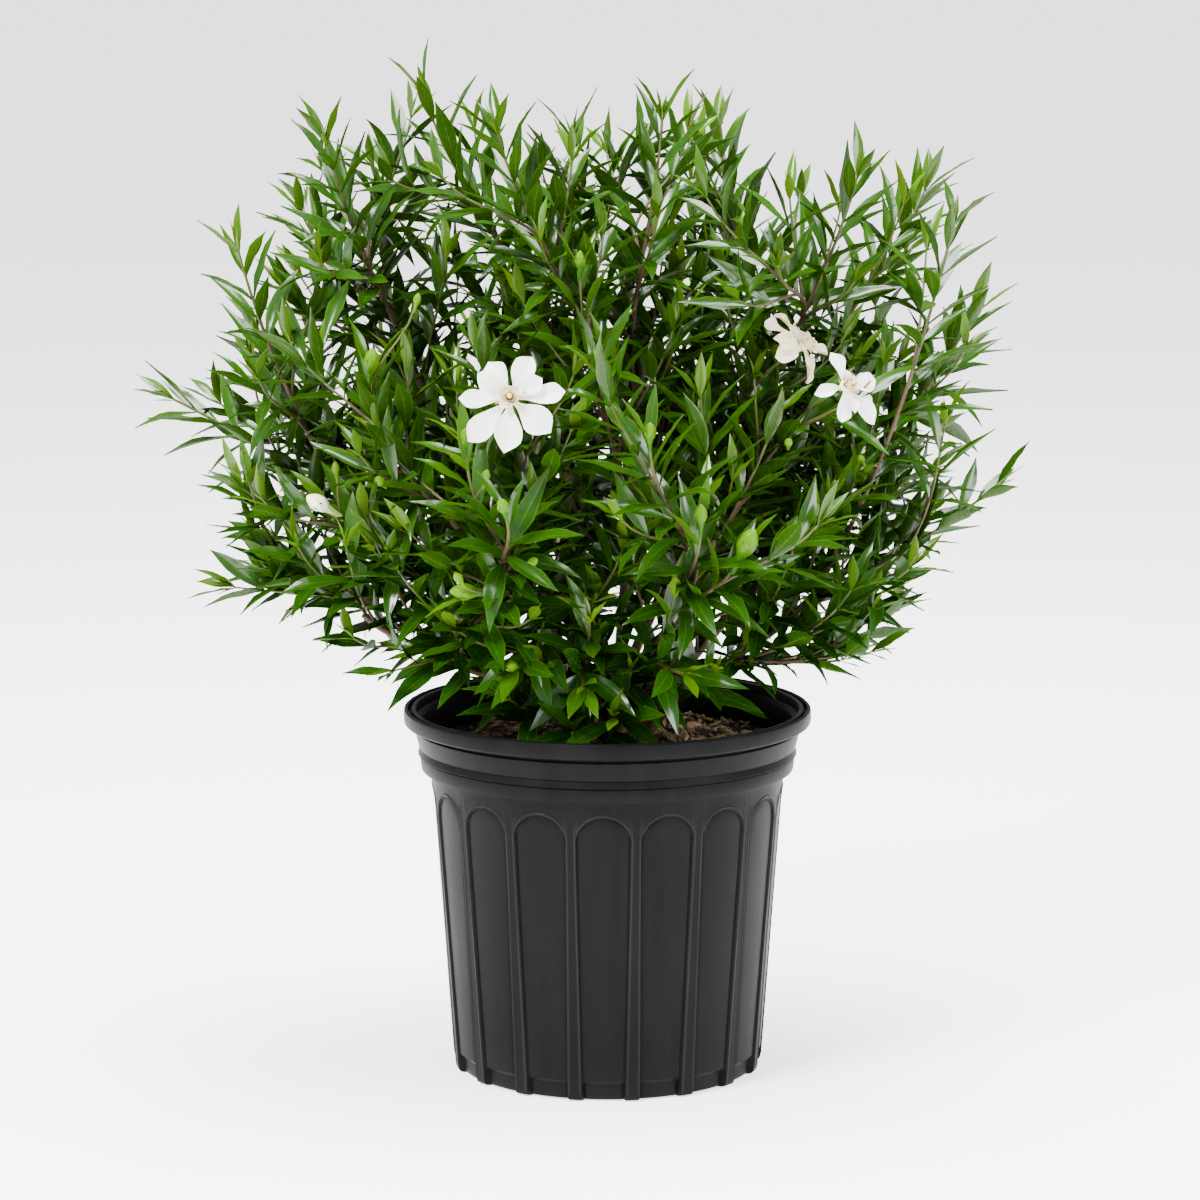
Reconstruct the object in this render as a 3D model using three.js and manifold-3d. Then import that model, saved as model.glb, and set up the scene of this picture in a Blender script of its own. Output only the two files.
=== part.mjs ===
// Potted gardenia: a leafy evergreen shrub with white blooms in a black fluted nursery pot.
// Millimetres, +Z up, front towards -Y. The origin is the centre of the pot's underside.
// Every leaf, petal and bud is drawn true to size; a rule with seeded draws places them.

import * as THREE from "three";
import { mergeVertices } from "three/addons/utils/BufferGeometryUtils.js";
import Module from "manifold-3d";

const wasm = await Module();
wasm.setup();

// Pot
const POT_HEIGHT = 252;
const RIM_RADIUS = 140;
const SHOULDER_RADIUS = 121.6;
const SHOULDER_HEIGHT = 208.5;
const HEEL_RADIUS = 107;
const HEEL_HEIGHT = 6;
const BASE_RADIUS = 101;
const WALL = 4;
const FLOOR = 3.5;
const FLOOR_RADIUS = 99.5;
const COLLAR_INSIDE = 126.3;
const COLLAR_FOOT = 216;
const POT_SIDES = 34;
const POT_TURN = THREE.MathUtils.degToRad(9.2);

const FLUTES = 17;
const FLUTE_DEPTH = 1.4;
const FLUTE_TOP = 199.5;
const FLUTE_FOOT = 9;
const FLUTE_SHARE = 0.84;
const FLUTE_FOOT_SHARE = 0.76;
const ARCH_STEPS = 7;
const CUTTER_DEPTH = 40;
const CORE_REACH = 20;

const DRAIN_HOLES = 6;
const DRAIN_RADIUS = 6.5;
const DRAIN_CIRCLE = 72;
const DRAIN_SIDES = 10;

// Soil
const SOIL_LEVEL = 224;
const SOIL_RELIEF = 1.6;
const SEAT_GAP = 0.3;

// Wood
const FOOT_RADIUS = 7;
const FOOT_DEPTH = 24;
const FOOT_RISE = 10;
const FOOT_SIDES = 12;
const LIMB_RADIUS = 4.4;
const LIMB_END_RADIUS = 2.2;
const LIMB_SIDES = 5;
const LIMB_STEPS = 6;

// Where each trunk stands in the soil, and where the limbs that it divides into end
const TRUNKS = [
  { name: "trunk_left", foot: [-18, 3], limbs: [[-165, -38, 322], [-200, 12, 420], [-140, 40, 500]] },
  { name: "trunk_back", foot: [0, 22], limbs: [[-45, 45, 520], [-85, 135, 420], [95, 130, 430]] },
  { name: "trunk_right", foot: [25, 5], limbs: [[140, -30, 335], [185, 10, 430], [120, 40, 510]] },
  { name: "trunk_front", foot: [5, -16], limbs: [[-75, -105, 380], [25, -20, 510], [70, -110, 385]] },
];
const LIMBS_PER_TRUNK = 3;
const FORK_STEPS = [0.4, 0.5, 0.6, 0.7, 0.8, 0.9, 1];

// Shoots
const SHOOT_RADIUS = 1.8;
const SHOOT_TIP_RADIUS = 0.9;
const SHOOT_SIDES = 4;
const SHOOT_STEPS = 5;
const SHOOT_LENGTH = 190;
const INNER_SHOOT_LENGTH = 100;
const LENGTH_WEIGHT = 0.14;
const SIDE_SHOOT_START = 0.5;
const BENDS = [0, 0.12, -0.12, 0.24, -0.24, 0.36, -0.36];
const CLEAR_OF_STEMS = 8.8;
const CURVE_SAMPLES = 16;
const CURVE_REACH = 0.36;
const WAY_STEP = 0.01;
const LEAFY_LENGTH = 185;
const NODE_SPACING = 15;

// Leaves
const LEAF_LENGTH = 50;
const LEAF_SHARE = 0.235;
const FOOT_SPREAD = 56;
const SPREAD_LOSS = 32;
const LEAF_THICKNESS = 1.2;
const LEAF_ARCHES = [0.06, 0.14, 0.24, 0.34];
const SKY_PULL = 0.75;
const LEAF_GAP = 0.5;
const WHORL_STEP = 3;
const LEAVES_PER_SHOOT = 6;
const LEAVES_PER_SIDE_SHOOT = 4;
const LEAVES_PER_INNER_SHOOT = 3;

// Each shoot ends at a tip, and looks along its face direction there where one is given.
// It grows from the limb that suits it, or forks from the first shoot of the same spray.
// A spray named after a bloom or a bud carries that on its first tip, and a shoot named after a
// trunk fills the crown behind the others and stays one piece with the trunk's own limbs.
const SHOOTS = [
  { spray: "left_low", tip: [-216, -30, 345], face: [-1, -0.1, 0.1] },
  { spray: "left_out", tip: [-296, 15, 462], face: [-0.9, 0, 0.45] },
  { spray: "left_mid", tip: [-244, 85, 500] },
  { spray: "left_high", tip: [-246, -45, 568] },
  { spray: "left_crown", tip: [-205, 75, 582] },
  { spray: "left_hang", tip: [-124, -60, 300], face: [-1, -0.2, 0.1] },
  { spray: "top_left", tip: [-186, -55, 640] },
  { spray: "top_far_left", tip: [-124, 20, 668] },
  { spray: "top_inner_left", tip: [-72, -95, 650] },
  { spray: "top_middle", tip: [-24, 70, 636] },
  { spray: "top_inner_right", tip: [36, -50, 656] },
  { spray: "top_right", tip: [77, 85, 640] },
  { spray: "right_crown", tip: [166, -45, 618] },
  { spray: "right_high", tip: [220, 80, 600] },
  { spray: "right_upper", tip: [228, -80, 590] },
  { spray: "right_mid", tip: [252, 55, 516] },
  { spray: "right_out", tip: [264, -20, 408], face: [0.75, 0, 0.65] },
  { spray: "right_low", tip: [172, -45, 332] },
  { spray: "right_hang", tip: [158, -30, 289], face: [1, -0.1, 0.15] },
  { spray: "front_hang_middle", tip: [-16, -102, 285], face: [0, -1, -0.1] },
  { spray: "front_hang_right", tip: [50, -112, 295], face: [0.5, -1, 0.1] },
  { spray: "bloom_front", tip: [-62, -150, 480], face: [-0.05, -0.95, 0.3], size: 1 },
  { spray: "bloom_right", tip: [150, -85, 480], face: [0.5, -0.8, 0.35], size: 0.85 },
  { spray: "bloom_old", tip: [122, -50, 500], face: [0.75, -0.3, 0.5], size: 0.72 },
  { spray: "bud_white", tip: [-186, -65, 398], face: [-0.7, -0.5, 0.5], size: 1 },
  { spray: "bud_left", tip: [-157, -80, 490], face: [0.1, -0.3, 1], size: 0.95 },
  { spray: "bud_inner_left", tip: [-92, -158, 452], face: [0, -0.4, 1], size: 0.7 },
  { spray: "bud_large", tip: [86, -148, 378], face: [0.4, -0.3, 0.9], size: 1.15 },
  { spray: "bud_inner_right", tip: [60, -164, 402], face: [0, -0.3, 1], size: 0.75 },
  { spray: "bud_front", tip: [-66, -182, 412], face: [-0.2, -0.6, 0.8], size: 0.7 },
  { spray: "bud_lying", tip: [-84, -134, 353], face: [-1, -0.3, 0.1], size: 1 },
  { spray: "bud_hang_left", tip: [-61, -114, 300], face: [-0.4, -1, 0.2], size: 0.7 },
  { spray: "bud_top", tip: [-18, -105, 562], face: [0, -0.2, 1], size: 0.65 },
  { spray: "bud_middle", tip: [27, -176, 458], face: [0, -0.4, 1], size: 0.7 },
  { spray: "back_left", tip: [-160, 180, 480] },
  { spray: "back_inner_left", tip: [-52, 215, 545] },
  { spray: "back_inner_right", tip: [70, 215, 528] },
  { spray: "back_right", tip: [175, 175, 465] },
  { spray: "left_low", tip: [-238, -8, 372] },
  { spray: "top_left", tip: [-150, 60, 612] },
  { spray: "top_inner_right", tip: [0, 35, 628] },
  { spray: "right_crown", tip: [112, -95, 562] },
  { spray: "right_mid", tip: [228, 130, 450] },
  { spray: "back_left", tip: [-205, 125, 395] },
  { spray: "back_inner_left", tip: [-20, 212, 425] },
  { spray: "back_inner_right", tip: [60, 150, 600] },
  { spray: "back_right", tip: [210, 125, 390] },
  { spray: "trunk_back", tip: [0, 155, 370] },
  { spray: "trunk_back", tip: [-104, 140, 330] },
  { spray: "trunk_back", tip: [-45, 105, 445] },
  { spray: "trunk_right", tip: [37, 90, 460] },
  { spray: "trunk_right", tip: [160, 98, 470] },
  { spray: "trunk_right", tip: [116, 60, 375] },
  { spray: "trunk_left", tip: [-150, 90, 448] },
  { spray: "trunk_left", tip: [-77, -18, 432] },
  { spray: "trunk_front", tip: [48, 30, 537] },
];

// Flowers
const PETAL_LENGTH = 37;
const PETAL_SHARE = 0.52;
const PETAL_THICKNESS = 1.1;
const TUBE_LENGTH = 15;
const TUBE_RADIUS = 2.6;
const THROAT_RADIUS = 2.6;
const THROAT_RISE = 3;
const BUD_LENGTH = 21;
const BUD_RADIUS = 5.6;
const BUD_TWIST = 1.1;
const ANTHER_LENGTH = 9;
const ANTHER_RADIUS = 1.1;
const ANTHER_LEAN = 1.05;

const UP = new THREE.Vector3(0, 0, 1);
const WELD_FINE = 1e-3;
const WELD_COARSE = 1e-2;

const paint = (color, roughness) => new THREE.MeshStandardMaterial({ color, roughness, metalness: 0 });
const FINISH = {
  pot: paint(0x2b2c2c, 0.42),
  soil: paint(0x2e231b, 0.95),
  wood: paint(0x7a5a3e, 0.8),
  leaf: paint(0x2f6b1c, 0.35),
  petal: paint(0xf7f6ee, 0.5),
  centre: paint(0xefe3ae, 0.5),
  bud: paint(0xa5c83c, 0.4),
  paleBud: paint(0xeceacb, 0.45),
};

// Solids

// The same surface with one vertex wherever its faces meet
function welded(geometry) {
  const bare = geometry.clone();
  bare.deleteAttribute("normal");
  bare.deleteAttribute("uv");
  return mergeVertices(bare, 1e-4);
}

function toSolid(geometry) {
  const merged = welded(geometry);
  const corners = merged.index.array;
  const triVerts = [];
  for (let i = 0; i < corners.length; i += 3) {
    const [a, b, c] = [corners[i], corners[i + 1], corners[i + 2]];
    if (a !== b && b !== c && c !== a) triVerts.push(a, b, c);
  }
  const vertProperties = merged.attributes.position.array;
  const mesh = { numProp: 3, vertProperties, triVerts: Uint32Array.from(triVerts) };
  return new wasm.Manifold(new wasm.Mesh(mesh));
}

const join = (solids) => solids.reduce((sum, solid) => sum.add(solid));

// The largest body of a solid: this leaves out loose scraps, and fills hollows that joining sealed
function mainBody(solid) {
  return solid.decompose().reduce((best, piece) => (piece.volume() > best.volume() ? piece : best));
}

function toGeometry(solid) {
  const { vertProperties, triVerts } = solid.getMesh();
  const geometry = new THREE.BufferGeometry();
  geometry.setAttribute("position", new THREE.BufferAttribute(new Float32Array(vertProperties), 3));
  geometry.setIndex(new THREE.BufferAttribute(new Uint32Array(triVerts), 1));
  return geometry;
}

function toMesh(name, solid, material) {
  const geometry = toGeometry(solid);
  geometry.computeVertexNormals();
  const mesh = new THREE.Mesh(geometry, material);
  mesh.name = name;
  return mesh;
}

// True where each edge still has exactly two faces after vertices that nearly touch are merged
function isSound(solid) {
  return [WELD_FINE, WELD_COARSE].every((tolerance) => {
    const corners = mergeVertices(toGeometry(solid), tolerance).index.array;
    const uses = new Map();
    for (let i = 0; i < corners.length; i += 3) {
      const [a, b, c] = [corners[i], corners[i + 1], corners[i + 2]];
      if (a === b || b === c || c === a) continue;
      for (const [from, to] of [[a, b], [b, c], [c, a]]) {
        const edge = `${Math.min(from, to)} ${Math.max(from, to)}`;
        uses.set(edge, (uses.get(edge) ?? 0) + 1);
      }
    }
    return [...uses.values()].every((count) => count === 2);
  });
}

function turned(profile, sides) {
  const points = profile.map(([radius, height]) => new THREE.Vector2(radius, height));
  return new THREE.LatheGeometry(points, sides).rotateX(Math.PI / 2);
}

// Moves every vertex of a welded copy by a rule from its old place to its new one
function reshape(source, rule) {
  const geometry = welded(source);
  const position = geometry.attributes.position;
  for (let i = 0; i < position.count; i += 1) {
    const moved = rule(new THREE.Vector3().fromBufferAttribute(position, i));
    position.setXYZ(i, moved.x, moved.y, moved.z);
  }
  return geometry;
}

function post(x, y, low, high, radius, sides) {
  const cylinder = new THREE.CylinderGeometry(radius, radius, high - low, sides).rotateX(Math.PI / 2);
  return toSolid(cylinder.translate(x, y, (low + high) / 2));
}

// Seeded draws, the minimal standard generator

function draws(seed) {
  const modulus = 2147483647;
  let state = seed;
  const next = () => {
    state = (state * 48271) % modulus;
    return state / modulus;
  };
  for (let i = 0; i < 3; i += 1) next();
  return (low, high) => low + (high - low) * next();
}

// Pot

const WALL_SLOPE = (SHOULDER_RADIUS - HEEL_RADIUS) / (SHOULDER_HEIGHT - HEEL_HEIGHT);
const wallRadius = (height) => HEEL_RADIUS + WALL_SLOPE * (height - HEEL_HEIGHT);

function potOutside() {
  return [
    [0, 0], [BASE_RADIUS, 0], [BASE_RADIUS + 4, 1.6], [HEEL_RADIUS, HEEL_HEIGHT],
    [SHOULDER_RADIUS, SHOULDER_HEIGHT], [127.8, 209.8], [129, 219.6], [130.2, 220.6],
    [128.6, 225], [129.8, 225.8], [132.6, 238.4], [132, 241], [139.2, 241.6],
    [RIM_RADIUS, 243.2], [RIM_RADIUS, POT_HEIGHT - 1.2], [RIM_RADIUS - 1, POT_HEIGHT],
  ];
}

function potInside() {
  return [
    [137.4, POT_HEIGHT], [136.8, POT_HEIGHT - 3.5], [135, POT_HEIGHT - 3.5], [134.6, POT_HEIGHT - 0.4],
    [132, POT_HEIGHT - 0.4], [131, 245], [127.4, 242.5], [COLLAR_INSIDE, COLLAR_FOOT],
    [SHOULDER_RADIUS - WALL, SHOULDER_HEIGHT - 1], [HEEL_RADIUS - WALL, HEEL_HEIGHT], [FLOOR_RADIUS, FLOOR],
    [0, FLOOR],
  ];
}

// One arch-topped panel, sunk to an even depth below the cone of the wall
function fluteCutter(core) {
  const footWidth = (Math.PI * wallRadius(FLUTE_FOOT) * FLUTE_FOOT_SHARE) / FLUTES;
  const archRadius = (Math.PI * wallRadius(FLUTE_TOP) * FLUTE_SHARE) / FLUTES;
  const spring = FLUTE_TOP - archRadius;
  const arch = new THREE.Shape();
  arch.moveTo(-footWidth, FLUTE_FOOT);
  arch.lineTo(footWidth, FLUTE_FOOT);
  arch.lineTo(archRadius, spring);
  for (let step = 1; step <= ARCH_STEPS; step += 1) {
    const angle = (Math.PI * step) / ARCH_STEPS;
    arch.lineTo(archRadius * Math.cos(angle), spring + archRadius * Math.sin(angle));
  }
  const prism = new THREE.ExtrudeGeometry(arch, { depth: CUTTER_DEPTH, bevelEnabled: false });
  prism.rotateX(Math.PI / 2).translate(0, -HEEL_RADIUS + CUTTER_DEPTH / 2, 0);
  return toSolid(prism).subtract(core);
}

function makePot() {
  const half = Math.PI / FLUTES;
  let pot = toSolid(turned([...potOutside(), ...potInside()], POT_SIDES));
  const core = toSolid(turned([
    [0, -CORE_REACH], [wallRadius(-CORE_REACH) - FLUTE_DEPTH, -CORE_REACH],
    [wallRadius(POT_HEIGHT) - FLUTE_DEPTH, POT_HEIGHT], [0, POT_HEIGHT],
  ], POT_SIDES));
  const cutter = fluteCutter(core);
  for (let i = 0; i < FLUTES; i += 1) {
    pot = pot.subtract(cutter.rotate([0, 0, THREE.MathUtils.radToDeg((2 * i + 1) * half)]));
  }
  for (let i = 0; i < DRAIN_HOLES; i += 1) {
    const angle = (2 * Math.PI * i) / DRAIN_HOLES;
    const [x, y] = [DRAIN_CIRCLE * Math.cos(angle), DRAIN_CIRCLE * Math.sin(angle)];
    pot = pot.subtract(post(x, y, -FLOOR, 2 * FLOOR, DRAIN_RADIUS, DRAIN_SIDES));
  }
  return pot.rotate([0, 0, THREE.MathUtils.radToDeg(POT_TURN)]);
}

// Soil

const relief = (x, y) =>
  SOIL_RELIEF * (Math.sin(0.11 * x + 0.6) * Math.cos(0.13 * y) + 0.6 * Math.sin(0.23 * (x - y)));

function makeSoil() {
  const edge = COLLAR_INSIDE - SEAT_GAP;
  const rings = [92, 50].map((radius) => [radius, SOIL_LEVEL]);
  const profile = [
    [0, FLOOR + SEAT_GAP], [FLOOR_RADIUS - 0.5, FLOOR + SEAT_GAP],
    [HEEL_RADIUS - WALL - SEAT_GAP, HEEL_HEIGHT + SEAT_GAP],
    [SHOULDER_RADIUS - WALL - 0.5, SHOULDER_HEIGHT - 0.5], [edge, COLLAR_FOOT + 0.8], [edge, SOIL_LEVEL],
    ...rings, [0, SOIL_LEVEL],
  ];
  const lump = reshape(turned(profile, POT_SIDES).rotateZ(POT_TURN), (p) => {
    const inside = Math.hypot(p.x, p.y) < edge - 1 && p.z > SOIL_LEVEL - 1;
    return inside ? p.setZ(p.z + relief(p.x, p.y)) : p;
  });
  return TRUNKS.reduce((soil, { foot: [x, y] }) => {
    const bottom = SOIL_LEVEL - FOOT_DEPTH - SEAT_GAP;
    return soil.subtract(post(x, y, bottom, SOIL_LEVEL + 20, FOOT_RADIUS + SEAT_GAP, FOOT_SIDES));
  }, toSolid(lump));
}

// Curves of limbs and shoots

const mix = (a, b, share) => a.clone().lerp(b, share).normalize();

function bow(start, startWay, end, endWay, reach) {
  const length = start.distanceTo(end) * reach;
  const first = start.clone().addScaledVector(startWay, length);
  const second = end.clone().addScaledVector(endWay, -length);
  return new THREE.CubicBezierCurve3(start, first, second, end);
}

function limbCurve([x, y], end) {
  const start = new THREE.Vector3(x, y, SOIL_LEVEL + 3);
  const finish = new THREE.Vector3(...end);
  const way = finish.clone().sub(start).normalize();
  return bow(start, mix(UP, way, 0.55), finish, mix(way, UP, 0.2), 0.34);
}

// The direction of a curve, over a short step that ends no later than its end
function wayAt(curve, t) {
  const from = Math.min(t, 1 - WAY_STEP);
  return curve.getPoint(from + WAY_STEP).sub(curve.getPoint(from)).normalize();
}

// A tapering tube of few sides along a curve; overshoot lengthens its far end in millimetres
function stem(curve, startRadius, endRadius, sides, steps, overshoot) {
  const tube = new THREE.CylinderGeometry(endRadius, startRadius, 1, sides, steps);
  const frames = curve.computeFrenetFrames(steps);
  const stretch = 1 + overshoot / curve.getLength();
  return toSolid(reshape(tube, (p) => {
    const ring = Math.round((p.y + 0.5) * steps);
    const centre = curve.getPoint((ring / steps) * (ring === steps ? stretch : 1));
    return centre.addScaledVector(frames.normals[ring], p.x).addScaledVector(frames.binormals[ring], -p.z);
  }));
}

const limbSolid = (curve, gap) =>
  stem(curve, LIMB_RADIUS + gap, LIMB_END_RADIUS + gap, LIMB_SIDES, LIMB_STEPS, gap);

const shootSolid = (curve, gap) =>
  stem(curve, SHOOT_RADIUS + gap, SHOOT_TIP_RADIUS + gap, SHOOT_SIDES, SHOOT_STEPS, gap);

const isInner = (spray) => spray.startsWith("trunk");

// A shoot leaves its limb where the way to its tip bends least from the limb's own way.
// An inner shoot leaves a limb of its own trunk.
function chooseFork({ spray, tip }, limbs, taken) {
  const inner = isInner(spray);
  const length = inner ? INNER_SHOOT_LENGTH : SHOOT_LENGTH;
  let best = { cost: Infinity };
  limbs.forEach((curve, limb) => FORK_STEPS.forEach((step) => {
    if (inner && TRUNKS[Math.floor(limb / LIMBS_PER_TRUNK)].name !== spray) return;
    const start = curve.getPoint(step);
    const reach = new THREE.Vector3(...tip).sub(start);
    const bend = THREE.MathUtils.radToDeg(wayAt(curve, step).angleTo(reach));
    const cost = bend + LENGTH_WEIGHT * Math.abs(reach.length() - length);
    if (cost < best.cost && !taken.has(`${limb} ${step}`)) best = { cost, limb, step, curve };
  }));
  taken.add(`${best.limb} ${best.step}`);
  return best;
}

function pointsOf(curve, from) {
  const step = (1 - from) / CURVE_SAMPLES;
  return Array.from({ length: CURVE_SAMPLES + 1 }, (_, i) => curve.getPoint(from + step * i));
}

function nearest(points, others) {
  let gap = Infinity;
  for (const p of points) for (const q of others) gap = Math.min(gap, p.distanceTo(q));
  return gap;
}

// Tries the straight way first and then wider bends, until the shoot is clear of what stands
function clearCurve(start, startWay, tip, tipWay, standing) {
  const side = new THREE.Vector3().crossVectors(tip.clone().sub(start), UP).normalize();
  let best = { gap: -1 };
  for (const bend of BENDS) {
    const curve = bow(start, mix(startWay, side, bend), tip, tipWay, CURVE_REACH);
    const gap = nearest(pointsOf(curve, 0.15), standing);
    if (gap > best.gap) best = { gap, curve };
    if (gap > CLEAR_OF_STEMS) break;
  }
  return best.curve;
}

function growShoots(limbs) {
  const taken = new Set();
  const standing = limbs.flatMap((curve) => pointsOf(curve, 0));
  const grown = [];
  for (const shoot of SHOOTS) {
    const tip = new THREE.Vector3(...shoot.tip);
    const parent = isInner(shoot.spray) ? null : grown.find(({ spray }) => spray === shoot.spray);
    const fork = parent ? { curve: parent.curve, step: SIDE_SHOOT_START } : chooseFork(shoot, limbs, taken);
    const start = fork.curve.getPoint(fork.step);
    const way = tip.clone().sub(start).normalize();
    const tipWay = shoot.face ? new THREE.Vector3(...shoot.face).normalize() : mix(way, UP, 0.3);
    const curve = clearCurve(start, mix(wayAt(fork.curve, fork.step), way, 0.5), tip, tipWay, standing);
    standing.push(...pointsOf(curve, 0.1));
    const carries = !parent && /^(bloom|bud)/.test(shoot.spray);
    const most = parent ? LEAVES_PER_SIDE_SHOOT : LEAVES_PER_SHOOT;
    const leafCount = isInner(shoot.spray) ? LEAVES_PER_INNER_SHOOT : most;
    grown.push({ ...shoot, curve, carries, leafCount, length: curve.getLength() });
  }
  return grown;
}

// Leaves

function leafFrame(curve, t, around, spread) {
  const way = wayAt(curve, t);
  const side = new THREE.Vector3().crossVectors(way, UP).normalize();
  const over = new THREE.Vector3().crossVectors(side, way);
  const out = side.multiplyScalar(Math.cos(around)).addScaledVector(over, Math.sin(around));
  const along = way.clone().multiplyScalar(Math.cos(spread)).addScaledVector(out, Math.sin(spread));
  const face = way.clone().addScaledVector(UP, SKY_PULL);
  face.addScaledVector(along, -face.dot(along)).normalize();
  return { root: curve.getPoint(t), along, face, across: new THREE.Vector3().crossVectors(along, face) };
}

// Every leaf that a shoot bears, in whorls of two or three from its foot to its tip
function leavesOf(shoot, order) {
  const draw = draws(1009 + 97 * order);
  const leafy = Math.min(LEAFY_LENGTH, 0.78 * shoot.length);
  const whorls = Math.round(leafy / NODE_SPACING);
  const perWhorl = draw(0, 1) < 0.5 ? 2 : 3;
  const leaves = [];
  for (let whorl = 0; whorl < whorls; whorl += 1) {
    const share = whorl / (whorls - 1);
    const t = 1 - (leafy / shoot.length) * (1 - share) - 0.004;
    const turn = (Math.PI / perWhorl) * whorl + draw(-0.3, 0.3);
    for (let i = 0; i < perWhorl; i += 1) {
      const around = turn + (2 * Math.PI * i) / perWhorl + draw(-0.25, 0.25);
      const spread = THREE.MathUtils.degToRad(FOOT_SPREAD - SPREAD_LOSS * share ** 1.5 + draw(-9, 9));
      const size = (0.86 + 0.26 * Math.sin(Math.PI * share ** 0.8) - 0.14 * share ** 5) * draw(0.86, 1.14);
      const arch = LEAF_ARCHES[Math.floor(draw(0, LEAF_ARCHES.length))] * (1 - 0.5 * share);
      const frame = leafFrame(shoot.curve, t, around, spread);
      leaves.push({ ...frame, length: LEAF_LENGTH * size, arch, whorl: whorls - 1 - whorl });
    }
  }
  return leaves;
}

// A thin closed blade from a bar of three or four sides: its rings take the outline, the fold
// and the arch. A three-sided bar gives a flat upper face and a keel below.
function blade({ root, along, across, face, length, arch }, form, grow = 0) {
  const { outline, share, thickness, fold, sides } = form;
  const rings = outline.length - 1;
  const bar = new THREE.CylinderGeometry(1, 1, 1, sides, rings, false, Math.PI);
  return toSolid(reshape(bar, (p) => {
    const [s, width] = outline[Math.round((p.y + 0.5) * rings)];
    const half = (width * share * length) / 2 + (width > 0 ? grow : 0);
    const deep = width > 0 ? (thickness * (0.7 + 0.3 * width)) / 2 + grow : 0;
    const lift = Math.abs(Math.round(p.x)) * half * fold + p.z * deep - arch * length * s * s;
    return root.clone().addScaledVector(along, length * s)
      .addScaledVector(across, Math.round(p.x) * half).addScaledVector(face, lift);
  }));
}

const LEAF_FORM = {
  outline: [[0, 0.08], [0.38, 1], [0.72, 0.7], [1, 0]],
  share: LEAF_SHARE, thickness: LEAF_THICKNESS, fold: 0, sides: 3,
};
const PETAL_FORM = {
  outline: [[0, 0.2], [0.4, 0.7], [0.8, 1], [1, 0]],
  share: PETAL_SHARE, thickness: PETAL_THICKNESS, fold: 0.12, sides: 4,
};

// The same leaf without its root: what must stay clear of the other leaves on its own stem
function leafReach(leaf) {
  const shift = 0.14 * leaf.length;
  const root = leaf.root.clone().addScaledVector(leaf.along, shift);
  return blade({ ...leaf, root, length: leaf.length - shift }, LEAF_FORM, LEAF_GAP);
}

function boxesMeet(a, b) {
  const one = a.boundingBox();
  const two = b.boundingBox();
  return [0, 1, 2].every((i) => one.min[i] < two.max[i] && two.min[i] < one.max[i]);
}

const meets = (solid, others) =>
  others.some((other) => boxesMeet(solid, other) && !solid.intersect(other).isEmpty());

// Keeps every third whorl from the tip down, and of those the leaves that cross nothing
function keepLeaves(shoot, order, others, own) {
  const kept = [];
  for (const leaf of leavesOf(shoot, order).reverse()) {
    if (leaf.whorl % WHORL_STEP !== 0 || (shoot.carries && leaf.whorl === 0)) continue;
    if (kept.length === shoot.leafCount) break;
    const reach = leafReach(leaf);
    if (meets(blade(leaf, LEAF_FORM, LEAF_GAP), others) || meets(reach, own)) continue;
    own.push(reach);
    kept.push(leaf);
  }
  return kept;
}

// Flowers and buds, built along +Z at the origin and then turned to their face direction

function placed(solid, place, face) {
  const turn = new THREE.Quaternion().setFromUnitVectors(UP, new THREE.Vector3(...face).normalize());
  const matrix = new THREE.Matrix4().compose(place, turn, new THREE.Vector3(1, 1, 1));
  return solid.transform(matrix.elements);
}

function petalRing(count, spreadDegrees, size, turn, arch) {
  return Array.from({ length: count }, (_, i) => {
    const around = turn + (2 * Math.PI * i) / count;
    const spread = THREE.MathUtils.degToRad(spreadDegrees);
    const out = new THREE.Vector3(Math.cos(around), Math.sin(around), 0);
    const along = out.clone().multiplyScalar(Math.sin(spread)).addScaledVector(UP, Math.cos(spread));
    const face = UP.clone().multiplyScalar(Math.sin(spread)).addScaledVector(out, -Math.cos(spread));
    const across = new THREE.Vector3().crossVectors(along, face);
    const root = new THREE.Vector3(0, 0, TUBE_LENGTH - 1);
    return blade({ root, along, across, face, length: PETAL_LENGTH * size, arch }, PETAL_FORM);
  });
}

function makeBloom(size) {
  const tube = toSolid(turned([
    [0, SEAT_GAP], [1.6, SEAT_GAP], [TUBE_RADIUS, TUBE_LENGTH - 3], [5.4, TUBE_LENGTH],
    [THROAT_RADIUS, TUBE_LENGTH + THROAT_RISE], [0, TUBE_LENGTH + THROAT_RISE],
  ], 8));
  const petals = [
    ...petalRing(size < 1 ? 6 : 7, 82, 1, 0.2, 0.08),
    ...petalRing(size < 1 ? 3 : 4, 52, 0.66, 0.5, 0.02),
  ];
  return mainBody(join([tube, ...petals])).scale([size, size, size]);
}

// The cream heart of a bloom: a club-shaped stigma and the anthers round it
function makeCentre(size) {
  const club = toSolid(turned([[0, 0], [2.2, 0], [1.3, 4], [2.4, 8], [0, 12]], 5));
  const anthers = Array.from({ length: 5 }, (_, i) => {
    const turn = (2 * Math.PI * i) / 5;
    const anther = new THREE.ConeGeometry(ANTHER_RADIUS, ANTHER_LENGTH, 3);
    anther.translate(0, ANTHER_LENGTH / 2, 0);
    return toSolid(anther.rotateZ(-ANTHER_LEAN).rotateX(Math.PI / 2).rotateZ(turn).translate(0, 0, 1.6));
  });
  const lift = TUBE_LENGTH + THROAT_RISE + SEAT_GAP / size;
  return mainBody(join([club, ...anthers])).translate([0, 0, lift]).scale([size, size, size]);
}

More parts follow.
